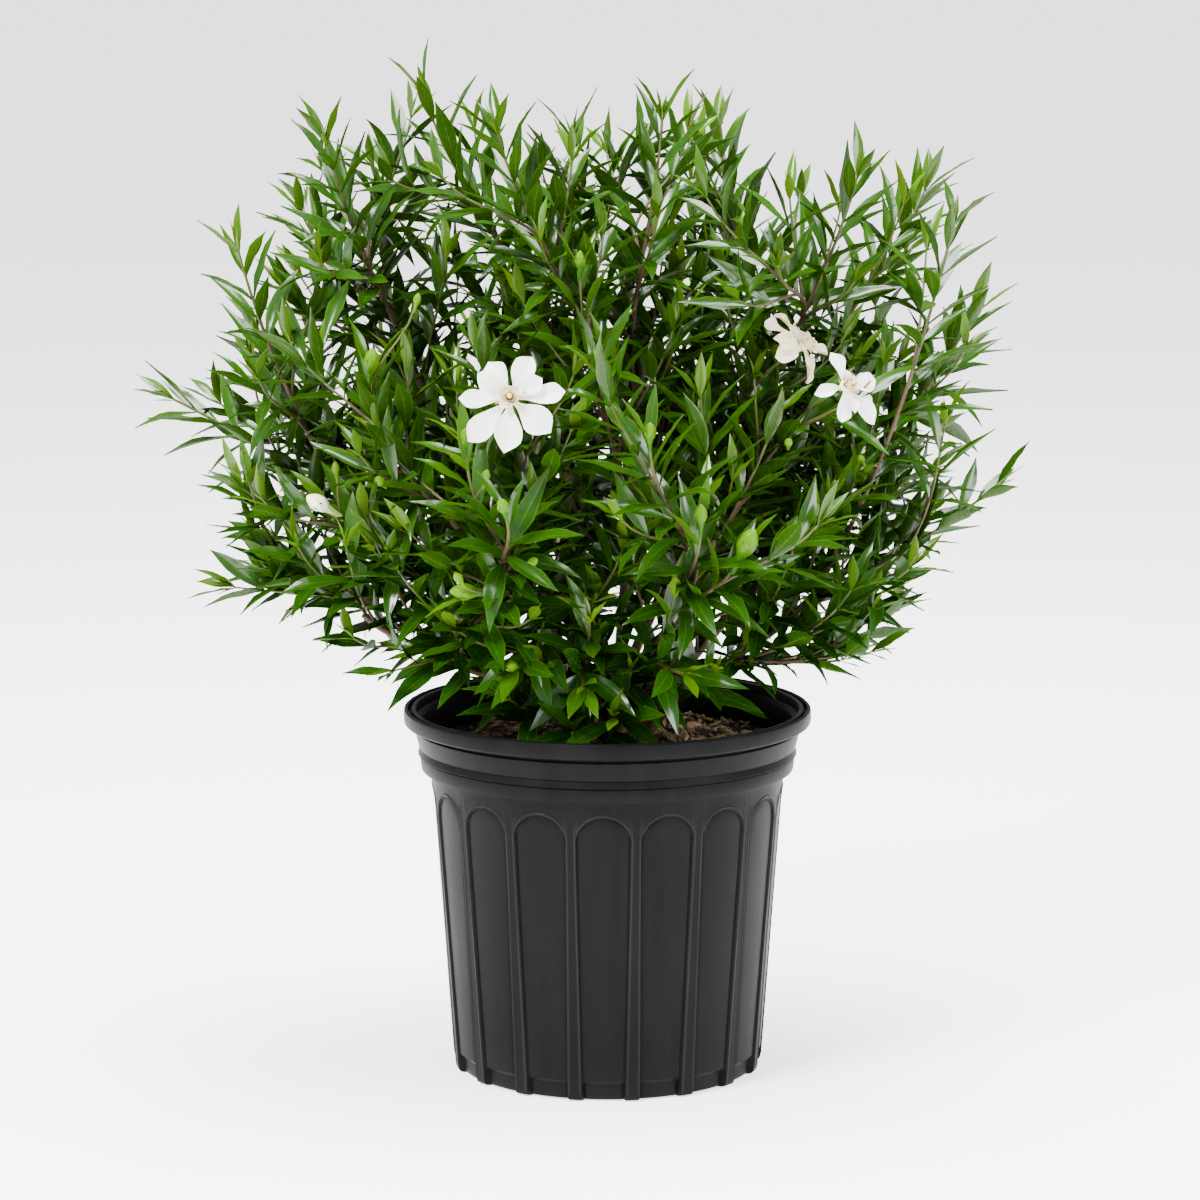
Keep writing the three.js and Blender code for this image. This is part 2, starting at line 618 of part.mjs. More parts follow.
// A pointed bud whose furled petals wind round it as low ridges
function makeBud(size) {
  const profile = [[0, 0], [0.35, 0.02], [0.75, 0.3], [1, 0.55], [0.62, 0.82], [0, 1]]
    .map(([radius, height]) => [radius * BUD_RADIUS, height * BUD_LENGTH + SEAT_GAP / size]);
  const bud = reshape(turned(profile, 10), (p) => {
    const twist = (BUD_TWIST * p.z) / BUD_LENGTH;
    const ridge = Math.round(Math.atan2(p.y, p.x) / (Math.PI / 5)) % 2 === 0 ? 1 : 0.84;
    return p.multiply(new THREE.Vector3(ridge, ridge, 1)).applyAxisAngle(UP, twist);
  });
  return toSolid(bud).scale([size, size, size]);
}

// Assembly

const plant = new THREE.Group();
plant.name = "potted_gardenia";

const pot = makePot();
const soil = makeSoil();

const limbs = [];
const wood = new Map();
for (const { name, foot, limbs: ends } of TRUNKS) {
  const curves = ends.map((end) => limbCurve(foot, end));
  const base = post(...foot, SOIL_LEVEL - FOOT_DEPTH, SOIL_LEVEL + FOOT_RISE, FOOT_RADIUS, FOOT_SIDES);
  const trunk = mainBody(join([base, ...curves.map((curve) => limbSolid(curve, 0))]));
  limbs.push(...curves);
  wood.set(name, trunk);
}

// The limbs again, wider by the seat gap: sprays are cut back to them and leaves stay clear of them
const limbSeats = limbs.map((curve) => limbSolid(curve, SEAT_GAP));

const shoots = growShoots(limbs);
const stems = shoots.map(({ curve }) => shootSolid(curve, 0));
const stemReach = shoots.map(({ curve }) => shootSolid(curve, LEAF_GAP));

const flowers = [];
const flowerNodes = [];
for (const { spray, tip, face, size } of shoots.filter(({ carries }) => carries)) {
  const place = new THREE.Vector3(...tip);
  if (spray.startsWith("bloom")) {
    const bloom = placed(makeBloom(size), place, face);
    const centre = placed(makeCentre(size), place, face);
    flowerNodes.push(toMesh(spray, bloom, FINISH.petal));
    flowerNodes.push(toMesh(`${spray}_centre`, centre, FINISH.centre));
    flowers.push(bloom);
  } else {
    const bud = placed(makeBud(size), place, face);
    flowerNodes.push(toMesh(spray, bud, spray === "bud_white" ? FINISH.paleBud : FINISH.bud));
    flowers.push(bud);
  }
}

// Each spray is its stems, cut back to their seats on the limbs, with its leaves sunk into them.
// The inner shoots are added to their trunk, and aren't cut.
const growth = new Map([...wood].map(([name, solid]) => [name, { solid, leaves: [], reach: [] }]));
shoots.forEach(({ spray }, order) => {
  const seated = limbSeats.reduce((rest, seat) => rest.subtract(seat), stems[order]);
  const first = growth.get(spray);
  const solid = first ? first.solid.add(stems[order]) : mainBody(seated);
  growth.set(spray, { solid, leaves: [], reach: [] });
});

const standing = [pot, soil, ...wood.values(), ...limbSeats, ...flowers];
shoots.forEach((shoot, order) => {
  const own = growth.get(shoot.spray);
  const otherStems = stemReach.filter((_, i) => shoots[i].spray !== shoot.spray);
  const otherLeaves = [...growth.values()].filter((piece) => piece !== own).flatMap(({ leaves }) => leaves);
  const kept = keepLeaves(shoot, order, [...standing, ...otherStems, ...otherLeaves], own.reach);
  for (const piece of kept.map((leaf) => blade(leaf, LEAF_FORM))) {
    const fuller = own.solid.add(piece);
    if (!isSound(fuller)) continue;
    own.solid = fuller;
    own.leaves.push(piece);
  }
});

plant.add(toMesh("pot", pot, FINISH.pot), toMesh("soil", soil, FINISH.soil), ...flowerNodes);
for (const [name, { solid }] of growth) {
  const [node, finish] = isInner(name) ? [name, FINISH.wood] : [`spray_${name}`, FINISH.leaf];
  plant.add(toMesh(node, mainBody(solid), finish));
}

export default plant;
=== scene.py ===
# %% [markdown]
# # Potted gardenia
#
# A small evergreen shrub with white blooms in a black nursery pot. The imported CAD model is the
# frame: it says where the pot, the trunks, every leafy shoot, every bloom and every bud stand.
# This lesson repeats the rule that grew those shoots, so that each finer piece lies exactly on
# the solid that it stands for, and then adds the leaves that were too many for the solids.

# %% Load the frame
import math

import bmesh
import bpy
from mathutils import Matrix, Vector, noise


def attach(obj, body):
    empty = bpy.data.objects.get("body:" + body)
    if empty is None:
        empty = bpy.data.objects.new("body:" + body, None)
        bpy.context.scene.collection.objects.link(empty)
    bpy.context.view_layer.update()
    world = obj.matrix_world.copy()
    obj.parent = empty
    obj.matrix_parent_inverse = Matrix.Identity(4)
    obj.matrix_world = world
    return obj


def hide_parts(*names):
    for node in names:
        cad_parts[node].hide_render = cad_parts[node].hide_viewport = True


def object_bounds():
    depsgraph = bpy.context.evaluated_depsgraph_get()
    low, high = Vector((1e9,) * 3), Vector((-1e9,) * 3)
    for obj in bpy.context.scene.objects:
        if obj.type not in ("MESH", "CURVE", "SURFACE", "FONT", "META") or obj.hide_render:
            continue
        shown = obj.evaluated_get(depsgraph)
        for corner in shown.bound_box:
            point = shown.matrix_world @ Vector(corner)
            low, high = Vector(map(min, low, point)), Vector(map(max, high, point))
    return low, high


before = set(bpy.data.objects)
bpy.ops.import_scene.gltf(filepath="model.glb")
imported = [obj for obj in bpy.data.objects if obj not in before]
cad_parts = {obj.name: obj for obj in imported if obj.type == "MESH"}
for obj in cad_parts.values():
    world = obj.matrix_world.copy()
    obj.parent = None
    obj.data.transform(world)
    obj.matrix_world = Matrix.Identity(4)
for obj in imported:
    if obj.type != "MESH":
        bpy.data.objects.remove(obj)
cad_box = [list(corner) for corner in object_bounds()]
MM = 0.001
UP = Vector((0, 0, 1))
print("CAD box in metres", [[round(v, 3) for v in corner] for corner in cad_box])

# %% [markdown]
# The camera comes first, because every later comparison with the photograph needs it. It stands
# about three metres away and looks down a little, so the lens is long and the rim is a flat
# ellipse. The numbers were fitted to the rim and the base of the pot.

# %% Camera
def put(name, data):
    """A new object in the scene that shows this data."""
    thing = bpy.data.objects.new(name, data)
    bpy.context.scene.collection.objects.link(thing)
    return thing


camera_data = bpy.data.cameras.new("camera")
camera_data.lens = 135.8
camera_data.sensor_width = 36
camera = put("camera", camera_data)
camera.location = (-0.0051, -3.059, 0.8365)
camera.rotation_euler = (math.radians(80.52), 0, 0)
bpy.context.scene.camera = camera
print("camera", tuple(round(v, 3) for v in camera.location), "lens", camera_data.lens)

# %% [markdown]
# Shader maths reads best as plain expressions. One small class wraps a socket, and each operator
# on it adds a Math node. A second class builds a finish: its `node` method adds any other node,
# and `mix` blends two colours, which a Math node would turn grey.

# %% Sockets and finishes
def operator(kind):
    """A method that adds one kind of Math node to what stands on its two sides."""
    return lambda self, other: self.math(kind, self, other)


class Sock:
    """An output socket. Arithmetic on it adds Math nodes to its tree."""

    def __init__(self, tree, socket):
        self.tree, self.socket = tree, socket

    def math(self, operation, *values, clamp=False):
        node = self.tree.nodes.new("ShaderNodeMath")
        node.operation, node.use_clamp = operation, clamp
        for slot, value in enumerate(values):
            if isinstance(value, Sock):
                self.tree.links.new(value.socket, node.inputs[slot])
            else:
                node.inputs[slot].default_value = value
        return Sock(self.tree, node.outputs[0])

    __add__ = __radd__ = operator("ADD")
    __mul__ = __rmul__ = operator("MULTIPLY")
    __sub__ = operator("SUBTRACT")

    def __rsub__(self, other):
        return self.math("SUBTRACT", other, self)

    def __abs__(self):
        return self.math("ABSOLUTE", self)

    def sine(self):
        return self.math("SINE", self)

    def held(self):
        """The value held between 0 and 1."""
        return self.math("ADD", self, 0.0, clamp=True)

    def above(self, start, slope):
        """0 up to the start, from there a rise by the slope, and 1 at most."""
        return ((self - start) * slope).held()

    def below(self, end, slope):
        """0 beyond the end, before it a fall by the slope, and 1 at most."""
        return ((end - self) * slope).held()


def shade(code):
    """A colour as a painter writes it, such as "2f6b1c", turned into the shader's linear numbers."""
    parts = [int(code[i:i + 2], 16) / 255 for i in (0, 2, 4)]
    return [p / 12.92 if p <= 0.04045 else ((p + 0.055) / 1.055) ** 2.4 for p in parts] + [1.0]


class Finish:
    """A material with one Principled shader."""

    def __init__(self, name, **constants):
        self.material = bpy.data.materials.new(name)
        self.material.use_nodes = True
        self.tree = self.material.node_tree
        self.tree.nodes.clear()
        self.shader = self.tree.nodes.new("ShaderNodeBsdfPrincipled")
        end = self.tree.nodes.new("ShaderNodeOutputMaterial")
        self.tree.links.new(self.shader.outputs[0], end.inputs[0])
        for socket, value in constants.items():
            self.shader.inputs[socket.replace("_", " ")].default_value = value

    def node(self, kind, settings=None, out=0, **values):
        node = self.tree.nodes.new("ShaderNode" + kind)
        for key, value in (settings or {}).items():
            setattr(node, key, value)
        for key, value in values.items():
            self.join(node.inputs[key.replace("_", " ")], value)
        return Sock(self.tree, node.outputs[out])

    def join(self, socket, value):
        if isinstance(value, Sock):
            self.tree.links.new(value.socket, socket)
        else:
            socket.default_value = shade(value) if isinstance(value, str) else value

    def set(self, **values):
        for key, value in values.items():
            self.join(self.shader.inputs[key.replace("_", " ")], value)

    def mix(self, share, first, second):
        node = self.tree.nodes.new("ShaderNodeMix")
        node.data_type = "RGBA"
        self.join(node.inputs[0], share)
        self.join(node.inputs[6], first)
        self.join(node.inputs[7], second)
        return Sock(self.tree, node.outputs[2])

    def place(self, scale=(1, 1, 1)):
        where = self.node("TexCoord", out=3)
        return self.node("Mapping", Vector=where, Scale=scale)

    def part(self, vector, axis):
        """One number of a vector: 0 for x, 1 for y, 2 for z."""
        return self.node("SeparateXYZ", out=axis, Vector=vector)

    def grain(self, vector, scale, detail=3.0, rough=0.55):
        return self.node("TexNoise", Vector=vector, Scale=scale, Detail=detail, Roughness=rough)

    def read(self, attribute):
        return self.node("Attribute", {"attribute_name": attribute}, out=2)

    def relief(self, height, depth, strength=0.5):
        self.set(Normal=self.node("Bump", Height=height, Distance=depth, Strength=strength))


print("helpers for finishes ready")

# %% [markdown]
# The pot is blow-moulded polyethylene: near-black, with a satin skin that is slightly uneven,
# a few pale scuffs and a breath of dust low down. The fine bead round each panel is painted
# paler than the rest, a painted highlight; the mesh marks it with an attribute. Only colour,
# roughness and bump vary.

# %% Pot finish
plastic = Finish("black_pot_plastic", Specular_IOR_Level=0.05)
spot = plastic.place()
cloudy = plastic.grain(spot, 18, 4)
streaks = plastic.grain(plastic.place((60, 60, 5)), 1.0, 4)
height = plastic.part(spot, 2)
dust = height.below(0.03, 22) * cloudy
base = plastic.mix(streaks.above(0.25, 1.6), "050505", "0e0e0e")
base = plastic.mix(dust * 0.5, base, "211e1b")
# Painted highlight: the bead round each panel is painted a paler grey.
base = plastic.mix((plastic.read("bead_highlight") * (0.25 + 0.9 * streaks)).held(), base, "1e1e1e")
scuffs = plastic.grain(plastic.place((1, 1, 0.25)), 95, 6, 0.7)
base = plastic.mix(scuffs.above(0.66, 6) * 0.35, base, "222222")
plastic.set(Base_Color=base, Roughness=0.34 + 0.14 * cloudy + 0.1 * streaks)
plastic.relief(streaks + 0.35 * plastic.grain(spot, 320, 2), 0.0005, 0.35)
print("finish", plastic.material.name)

# %% [markdown]
# Leaf finish. A gardenia leaf is glossy and dark above, paler and duller below, with a sunk pale
# midrib and a few side veins; the youngest leaves are yellow-green. A thin light line along the
# margin is a painted highlight on the blade's edge, and the leaves low in the crown are painted a
# deeper green as painted shade. The gloss is a thin coat over a matt base, because a plain glossy
# skin turns every blade that is seen edge-on white. The leaf mesh carries a UV map (across, along)
# for the veins, and three attributes: age, tint and under.

# %% Leaf finish
leaf = Finish("gardenia_leaf", Specular_IOR_Level=0.0, Coat_IOR=3.2, Coat_Roughness=0.2)
grid = leaf.node("UVMap", {"uv_map": "blade"})
across = abs(leaf.part(grid, 0) * 2 - 1)
along = leaf.part(grid, 1)
age, tint, under = leaf.read("age"), leaf.read("tint"), leaf.read("under")
midrib = (1 - across * 11).held()
vein_wave = ((along * 9 - across * 1.1) * (2 * math.pi)).sine()
veins = vein_wave.above(0.8, 5) * (1 - across)
# Painted highlight: a thin paler line along each blade's margin.
margin_highlight = across.above(0.88, 9)
mottle = leaf.grain(leaf.place(), 55, 3)
dark = leaf.mix(tint, "0c2900", "1d4300")
dark = leaf.mix(mottle.above(0.3, 1.5) * 0.55, dark, "274f02")
# Painted shade: leaves low in the crown, below 0.43 m, are painted a deeper green.
shaded = leaf.part(leaf.place(), 2).below(0.43, 7)
dark = leaf.mix(shaded * 0.6, dark, "063302")
fresh = leaf.mix(tint, "204902", "4a6c02")
top = leaf.mix(age, dark, fresh)
top = leaf.mix((midrib * 0.7 + veins * 0.2).held(), top, "3c5c10")
top = leaf.mix(margin_highlight * 0.32, top, "647c20")
top = leaf.mix(along.above(0.945, 22) * 0.8, top, "1a1204")
below = leaf.mix((midrib * 0.6 + veins * 0.3).held(), leaf.mix(age, "213a08", "486010"), "4c6620")
leaf.set(Base_Color=leaf.mix(under, top, below), Roughness=0.4 + 0.2 * mottle,
         Coat_Weight=0.11 - 0.075 * under + 0.035 * mottle)
leaf.relief(0.0 - midrib * 1.0 - veins * 0.45 + mottle * 0.3, 0.0006, 0.6)
print("finish", leaf.material.name)

# %% [markdown]
# The other finishes: bark that turns from tan-grey wood to a green young stem along the `green`
# attribute; fibrous potting mix; bark chips with their own tone each; petals that are white with
# a cream throat and grey-lilac streaks, partly faint veins and partly painted shade; the heart;
# and the buds.

# %% Wood, mix and flower finishes
bark = Finish("shrub_bark")
green = bark.read("green")
fissure = bark.grain(bark.place((1, 1, 0.22)), 620, 5, 0.65)
patches = bark.grain(bark.place(), 70, 3)
old = bark.mix(patches, "382719", "78604a")
old = bark.mix(fissure.above(0.5, 3) * 0.7, old, "a08a6e")
middle = bark.mix(patches, "2c1a0a", "483012")
young = bark.mix(patches, "2c3c04", "484c0c")
stem_colour = bark.mix((green * 3.4).held(), old, middle)
bark.set(Base_Color=bark.mix(green.above(0.725, 4), stem_colour, young), Roughness=0.75 - 0.3 * green)
bark.relief(fissure, 0.0009, 0.7)

mould = Finish("potting_mix", Roughness=0.95)
fibre = mould.grain(mould.place((1, 0.35, 1)), 480, 6, 0.7)
lumps = mould.grain(mould.place(), 130, 4)
peat = mould.mix(lumps.above(0.3, 2), "080503", "24160d")
mould.set(Base_Color=mould.mix(fibre.above(0.56, 6) * 0.6, peat, "5a4230"))
mould.relief(lumps + fibre * 0.6, 0.003, 1.0)

chip = Finish("bark_chip")
tone = chip.read("tone")
rays = chip.grain(chip.place((1, 0.3, 1)), 700, 5, 0.7)
wood = chip.mix(tone, "1c0e07", "a8865e")
chip.set(Base_Color=chip.mix(rays.above(0.45, 3) * (0.35 + 0.4 * tone), wood, "dcc6a2"),
         Roughness=0.8 - 0.15 * rays)
chip.relief(rays, 0.0012, 0.8)

petal = Finish("white_petal", Roughness=0.42, Subsurface_Weight=0.12, Subsurface_Scale=0.004)
sheet = petal.node("UVMap", {"uv_map": "blade"})
along = petal.part(sheet, 1)
wilt = petal.read("age")
streak = petal.grain(petal.node("Mapping", Vector=sheet, Scale=(26, 2.2, 1)), 1.0, 4)
# Grey-lilac streaks along each petal: partly faint veins, partly painted shade on the white.
body = petal.mix(streak.above(0.25, 1.6) * 0.7, "eaeae4", "c0c0cc")
body = petal.mix(along.below(0.34, 3.2) * 0.75, body, "e8deb4")
body = petal.mix(wilt * 0.8, body, "ead8a4")
body = petal.mix(streak.above(0.55, 5) * wilt.above(0.5, 2) * 0.7, body, "a88450")
petal.set(Base_Color=body)
petal.relief(streak, 0.0005, 0.35)

heart = Finish("cream_heart", Roughness=0.5)
dots = heart.grain(heart.place(), 900, 3)
heart.set(Base_Color=heart.mix(dots.above(0.1875, 1.6), "e8d898", "c09a48"))
heart.relief(dots, 0.0005, 0.5)

bud = Finish("green_bud", Roughness=0.28, Specular_IOR_Level=0.12)
rise = bud.read("age")
flecks = bud.grain(bud.place((1, 1, 0.4)), 420, 3)
skin = bud.mix(rise, "1e4800", "507400")
bud.set(Base_Color=bud.mix(flecks.above(0.2667, 1.5) * 0.45, skin, "366200"))
bud.relief(flecks, 0.0004, 0.4)

pale = Finish("opening_bud", Roughness=0.4, Specular_IOR_Level=0.3)
rise = pale.read("age")
flecks = pale.grain(pale.place((1, 1, 0.3)), 420, 3)
skin = pale.mix(rise.below(0.3, 4), "f3f0d8", "b9cf62")
pale.set(Base_Color=pale.mix(flecks * 0.25, skin, "dfe2b0"))
pale.relief(flecks, 0.0004, 0.4)
print("finishes", len(bpy.data.materials))

# %% [markdown]
# A finished piece keeps its place in its mesh. It is modelled in millimetres in a bmesh, scaled
# to metres once and given its finish, and the CAD nodes that it stands for are hidden.

# %% Start a piece and keep it
def start_piece(*marks, blade=False):
    """A new bmesh with a number on each vertex for each mark, and a blade's UV map if asked for."""
    bm = bmesh.new()
    for mark in marks:
        bm.verts.layers.float.new(mark)
    if blade:
        bm.loops.layers.uv.new("blade")
    return bm


def keep(name, bm, finish, slot, *nodes, smooth=None):
    """Makes an object of a bmesh. An angle in `smooth` turns its faces outward and shades them
    smoothly, except over edges that are sharper than the angle."""
    bmesh.ops.scale(bm, vec=(MM, MM, MM), verts=bm.verts)
    if smooth is not None:
        bmesh.ops.recalc_face_normals(bm, faces=bm.faces)
        for face in bm.faces:
            face.smooth = True
        for edge in bm.edges:
            edge.smooth = len(edge.link_faces) == 2 and edge.calc_face_angle(0) < math.radians(smooth)
    mesh = bpy.data.meshes.new(name)
    bm.to_mesh(mesh)
    bm.free()
    mesh.materials.append(finish.material)
    piece = put(name, mesh)
    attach(piece, "root")
    if nodes:
        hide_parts(*nodes)
    print(name, len(mesh.polygons), "faces")


# %% [markdown]
# The pot. A wall of revolution would give plain sides, but this pot has seventeen sunk panels with
# round tops, each edged by a fine bead and a groove. So one panel is made first: its profile is a
# line of edges, extruded round column by column at angles that crowd at the panel's edge. One row
# of the grid is then pulled up into the arch, the panel inside is pushed in, and the piece is
# turned round seventeen times. The lip overhangs, so a black line lies under it in the photograph.

# %% Pot measures
HEEL_R, HEEL_Z, SHOULDER_R, SHOULDER_Z = 107, 6, 121.6, 208.5
FLUTES, SUNK, FLUTE_TOP = 17, 1.5, 199.5
POT_TURN = math.radians(9.2)
half_flute = 180 / FLUTES


def wall_radius(z):
    return HEEL_R + (SHOULDER_R - HEEL_R) / (SHOULDER_Z - HEEL_Z) * (z - HEEL_Z)


PANEL, PANEL_FOOT = 8.95, 8.05
columns = [half_flute, 10.2, 9.85, 9.6, 9.35, 9.15, PANEL, 8.75, 8.5, 8.2, 7.8, 7.2, 6.0, 4.2, 2.1]
columns = [-a for a in columns] + [0] + columns[::-1]
FLOOR, DRAIN_CIRCLE, DRAIN_R = 3.5, 72, 6.5
print("columns", len(columns), "panel half angle", PANEL)

# %% Profile of the pot
heel = [(94, 0), (96.3, 0), (101, 0.1), (104, 0.5), (106, 1.4), (106.7, 3)]
spring = FLUTE_TOP - wall_radius(FLUTE_TOP) * math.radians(PANEL)
wall_rows = [6, 9, 11.5, 13.2, 14.4, 15.6, 30, 60, 90, 120, 148]
rising = [0.3, 0.6, 0.82, 0.93, 0.97]
beyond = [0, 0.7, 1.4, 2.2, 3.2]
collar = [(121.8, 209.1), (122.4, 209.6), (127.2, 209.9), (127.9, 210.2), (128.2, 210.9), (128.4, 213),
          (129.1, 218.9), (128.9, 219.5), (128.5, 219.9), (129.8, 220.2), (130.3, 220.6), (130.3, 221.2),
          (128.7, 224.6), (128.6, 225.2), (129.4, 225.4), (129.8, 225.8), (130, 226.6), (132.5, 236.8),
          (132.6, 237.7), (132.3, 238.3), (131.5, 238.7), (131.3, 239.6), (131.6, 240.8), (132.6, 241.3),
          (137.8, 241.5), (139, 241.8), (139.7, 242.6), (140, 244), (140, 249.6), (139.7, 251.2),
          (138.9, 252)]
inside = [(137.9, 252), (137.3, 251.5), (137.0, 250.6), (136.9, 248), (135.1, 248), (135, 250.6),
          (134.7, 251.3), (134, 251.7), (132.6, 251.7), (131.8, 251.2), (131.5, 250.2), (131, 245.6),
          (129.6, 243.8), (127.8, 243.2), (127.2, 242), (126.3, 216), (117.6, 207.5), (103, 6), (99.5, FLOOR),
          (94, FLOOR)]
# A row is a radius and a height. On the wall the radius follows from the height, and round the
# arch the height follows from that of the arch itself
rows = heel + [(None, z) for z in wall_rows]
rows += [(None, lambda top, share=share: wall_rows[-1] + share * (top - wall_rows[-1])) for share in rising]
rows += [(None, lambda top, gap=gap: top + gap) for gap in beyond]
rows += [(None, lambda top: top + beyond[-1] + 0.5 * (SHOULDER_Z - top - beyond[-1]))]
rows += [(SHOULDER_R, SHOULDER_Z)] + collar + inside
panel_rows = range(2, len(rows) - len(inside))
print("profile points", len(rows), "arch springs at", round(spring, 1), "mm")


def arch_height(angle):
    share = min(1, abs(angle) / PANEL)
    return spring + (FLUTE_TOP - spring) * math.sqrt(1 - share * share)


def held(share):
    return max(0.0, min(1.0, share))


def soft(share):
    """A smooth rise from 0 to 1 as the share goes from 0 to 1."""
    share = held(share)
    return share * share * (3 - 2 * share)


def panel_half(z):
    """Half the angle of a panel, which is a little narrower at its foot."""
    return PANEL_FOOT + (PANEL - PANEL_FOOT) * held((z - 9) / 150)


def past_panel(angle, z):
    """How far a place on the wall lies outside its panel's edge, in millimetres."""
    reach = math.radians(abs(angle)) * wall_radius(z)
    half = math.radians(panel_half(z)) * wall_radius(z)
    return math.hypot(reach, z - spring) - (FLUTE_TOP - spring) if z > spring else reach - half


def sink(angle, z):
    """How far the wall stands out or in: a bead, the panel's groove, its face and its cut-away foot."""
    edge = past_panel(angle, z)
    bead = 0.5 * math.exp(-(((edge - 0.7) / 0.5) ** 2))
    groove = SUNK * soft(-edge / 0.9)
    face = 0.55 * soft((-edge - 1.1) / 1.6)
    foot = 2.6 * soft((14.6 - z) / 3.4) * soft(-edge / 1.2)
    return bead * soft((z - 2) / 3) - groove + face - foot


def shaped(row, angle):
    """Where a point of the profile stands once it is turned to an angle and its panel is pushed in."""
    r, z = rows[row]
    if callable(z):
        z = z(arch_height(angle))
    r = wall_radius(z) if r is None else r
    narrow = panel_half(z) / PANEL
    if abs(angle) <= PANEL:
        angle *= narrow
    else:
        share = (half_flute - abs(angle)) / (half_flute - PANEL)
        angle = math.copysign(half_flute - share * (half_flute - PANEL * narrow), angle)
    if row in panel_rows and z < SHOULDER_Z:
        r += sink(angle, z)
    turn = math.radians(angle)
    return Vector((r * math.sin(turn), -r * math.cos(turn), z))


# %% One panel of the pot, turned round
def edges_of(verts):
    """The edges at some vertices, each once and in the same order in every run."""
    return list(dict.fromkeys(edge for vert in verts for edge in vert.link_edges))


def extrude_line(bm, edges):
    """Extrudes a line of edges. Gives the new vertices and the new line."""
    grown = bmesh.ops.extrude_edge_only(bm, edges=edges)["geom"]
    verts = [g for g in grown if isinstance(g, bmesh.types.BMVert)]
    fresh = set(verts)
    return verts, [g for g in grown if isinstance(g, bmesh.types.BMEdge) and set(g.verts) <= fresh]


bm = start_piece("bead_highlight")
bead_highlight_layer = bm.verts.layers.float["bead_highlight"]
column = [bm.verts.new(shaped(row, columns[0])) for row in range(len(rows))]
edges = [bm.edges.new(pair) for pair in zip(column, column[1:])]
row_of = {vert: row for row, vert in enumerate(column)}
for angle in columns[1:]:
    fresh, edges = extrude_line(bm, edges)
    row_of = {edge.other_vert(vert): row for vert, row in row_of.items() for edge in vert.link_edges
              if edge.other_vert(vert) in fresh}
    for vert, row in row_of.items():
        vert.co = shaped(row, angle)
# The bead round each panel is marked for the painted highlight in the pot's finish.
for vert in bm.verts:
    angle, z = math.degrees(math.atan2(vert.co.x, -vert.co.y)), vert.co.z
    if 4 < z < SHOULDER_Z and vert.co.xy.length > wall_radius(z) - 0.5:
        vert[bead_highlight_layer] = math.exp(-(((past_panel(angle, z) - 0.7) / 0.6) ** 2))
sector = list(bm.verts) + list(bm.edges) + list(bm.faces)
for i in range(1, FLUTES):
    copy = bmesh.ops.duplicate(bm, geom=sector)["geom"]
    verts = [g for g in copy if isinstance(g, bmesh.types.BMVert)]
    bmesh.ops.rotate(bm, verts=verts, matrix=Matrix.Rotation(2 * math.pi * i / FLUTES, 3, "Z"))
bmesh.ops.rotate(bm, verts=bm.verts, matrix=Matrix.Rotation(math.radians(half_flute) + POT_TURN, 3, "Z"))
bmesh.ops.remove_doubles(bm, verts=bm.verts, dist=0.01)

# The floor is filled between the wall and six drain holes, above and below
holes = []
for level in (0, FLOOR):
    brim = [edge for edge in bm.edges if edge.is_boundary and abs(edge.verts[0].co.z - level) < 0.01]
    rings = []
    for i in range(6):
        spin = Matrix.Rotation(POT_TURN + math.pi * i / 3, 4, "Z")
        spot = spin @ Matrix.Translation((DRAIN_CIRCLE, 0, level))
        made = bmesh.ops.create_circle(bm, segments=20, radius=DRAIN_R, matrix=spot)["verts"]
        rings.append(edges_of(made))
    bmesh.ops.triangle_fill(bm, edges=brim + sum(rings, []), use_beauty=True, normal=(0, 0, 1))
    holes.append(rings)
for low_ring, high_ring in zip(*holes):
    bmesh.ops.bridge_loops(bm, edges=low_ring + high_ring)
print("open edges in the pot", sum(edge.is_boundary for edge in bm.edges))
keep("grower_pot", bm, plastic, "pot", "pot", smooth=26)

# %% [markdown]
# The potting mix fills the pot to about three centimetres below the rim. A line from the axis is
# spun into a closed drum, and its top is lifted by noise at two sizes. The chips of bark that lie
# on it are what the eye sees, so they are separate slabs, laid on the same surface with a seeded
# draw. The few large pale ones stand where the photograph shows them, behind the trunks' feet.

# %% Seeded draws, the same generator as the CAD source
def draws(seed):
    """Gives a function that draws the next number between two limits."""
    state = [seed]

    def turn_over():
        state[0] = state[0] * 48271 % 2147483647
        return state[0] / 2147483647

    for _ in range(3):
        turn_over()
    return lambda low, high: low + (high - low) * turn_over()


# %% Potting mix
SOIL = 224
EDGE = 126.0


def relief(x, y):
    return 1.6 * (math.sin(0.11 * x + 0.6) * math.cos(0.13 * y) + 0.6 * math.sin(0.23 * (x - y)))


def soil_top(x, y):
    near = held((EDGE - math.hypot(x, y)) / 8)
    rough = 2.2 * noise.noise(Vector((x, y, 3)) * 0.09) + 1.1 * noise.noise(Vector((x, y, 9)) * 0.33)
    return SOIL + near * (relief(x, y) + rough)


def lathe(bm, profile, steps, merge=1e-3):
    """Spins a line of radius and height round the axis, and closes it where it meets the axis."""
    verts = [bm.verts.new((r, 0, z)) for r, z in profile]
    path = [bm.edges.new(pair) for pair in zip(verts, verts[1:])]
    bmesh.ops.spin(bm, geom=verts + path, cent=(0, 0, 0), axis=(0, 0, 1), angle=2 * math.pi, steps=steps,
                   use_merge=True)
    bmesh.ops.remove_doubles(bm, verts=bm.verts, dist=merge)


bm = bmesh.new()
line = [(0, 3.8), (60, 3.8), (99, 3.8), (102.7, 6.3), (117.1, 208), (126, 216.8)]
line += [(EDGE, SOIL)] + [(EDGE - 1.5 * step, SOIL) for step in range(1, 84)] + [(0, SOIL)]
lathe(bm, line, 160, merge=0.02)
for vert in bm.verts:
    if vert.co.z > SOIL - 0.5 and vert.co.xy.length < EDGE - 0.5:
        vert.co.z = soil_top(vert.co.x, vert.co.y)
keep("potting_mix", bm, mould, "soil", "soil", smooth=60)

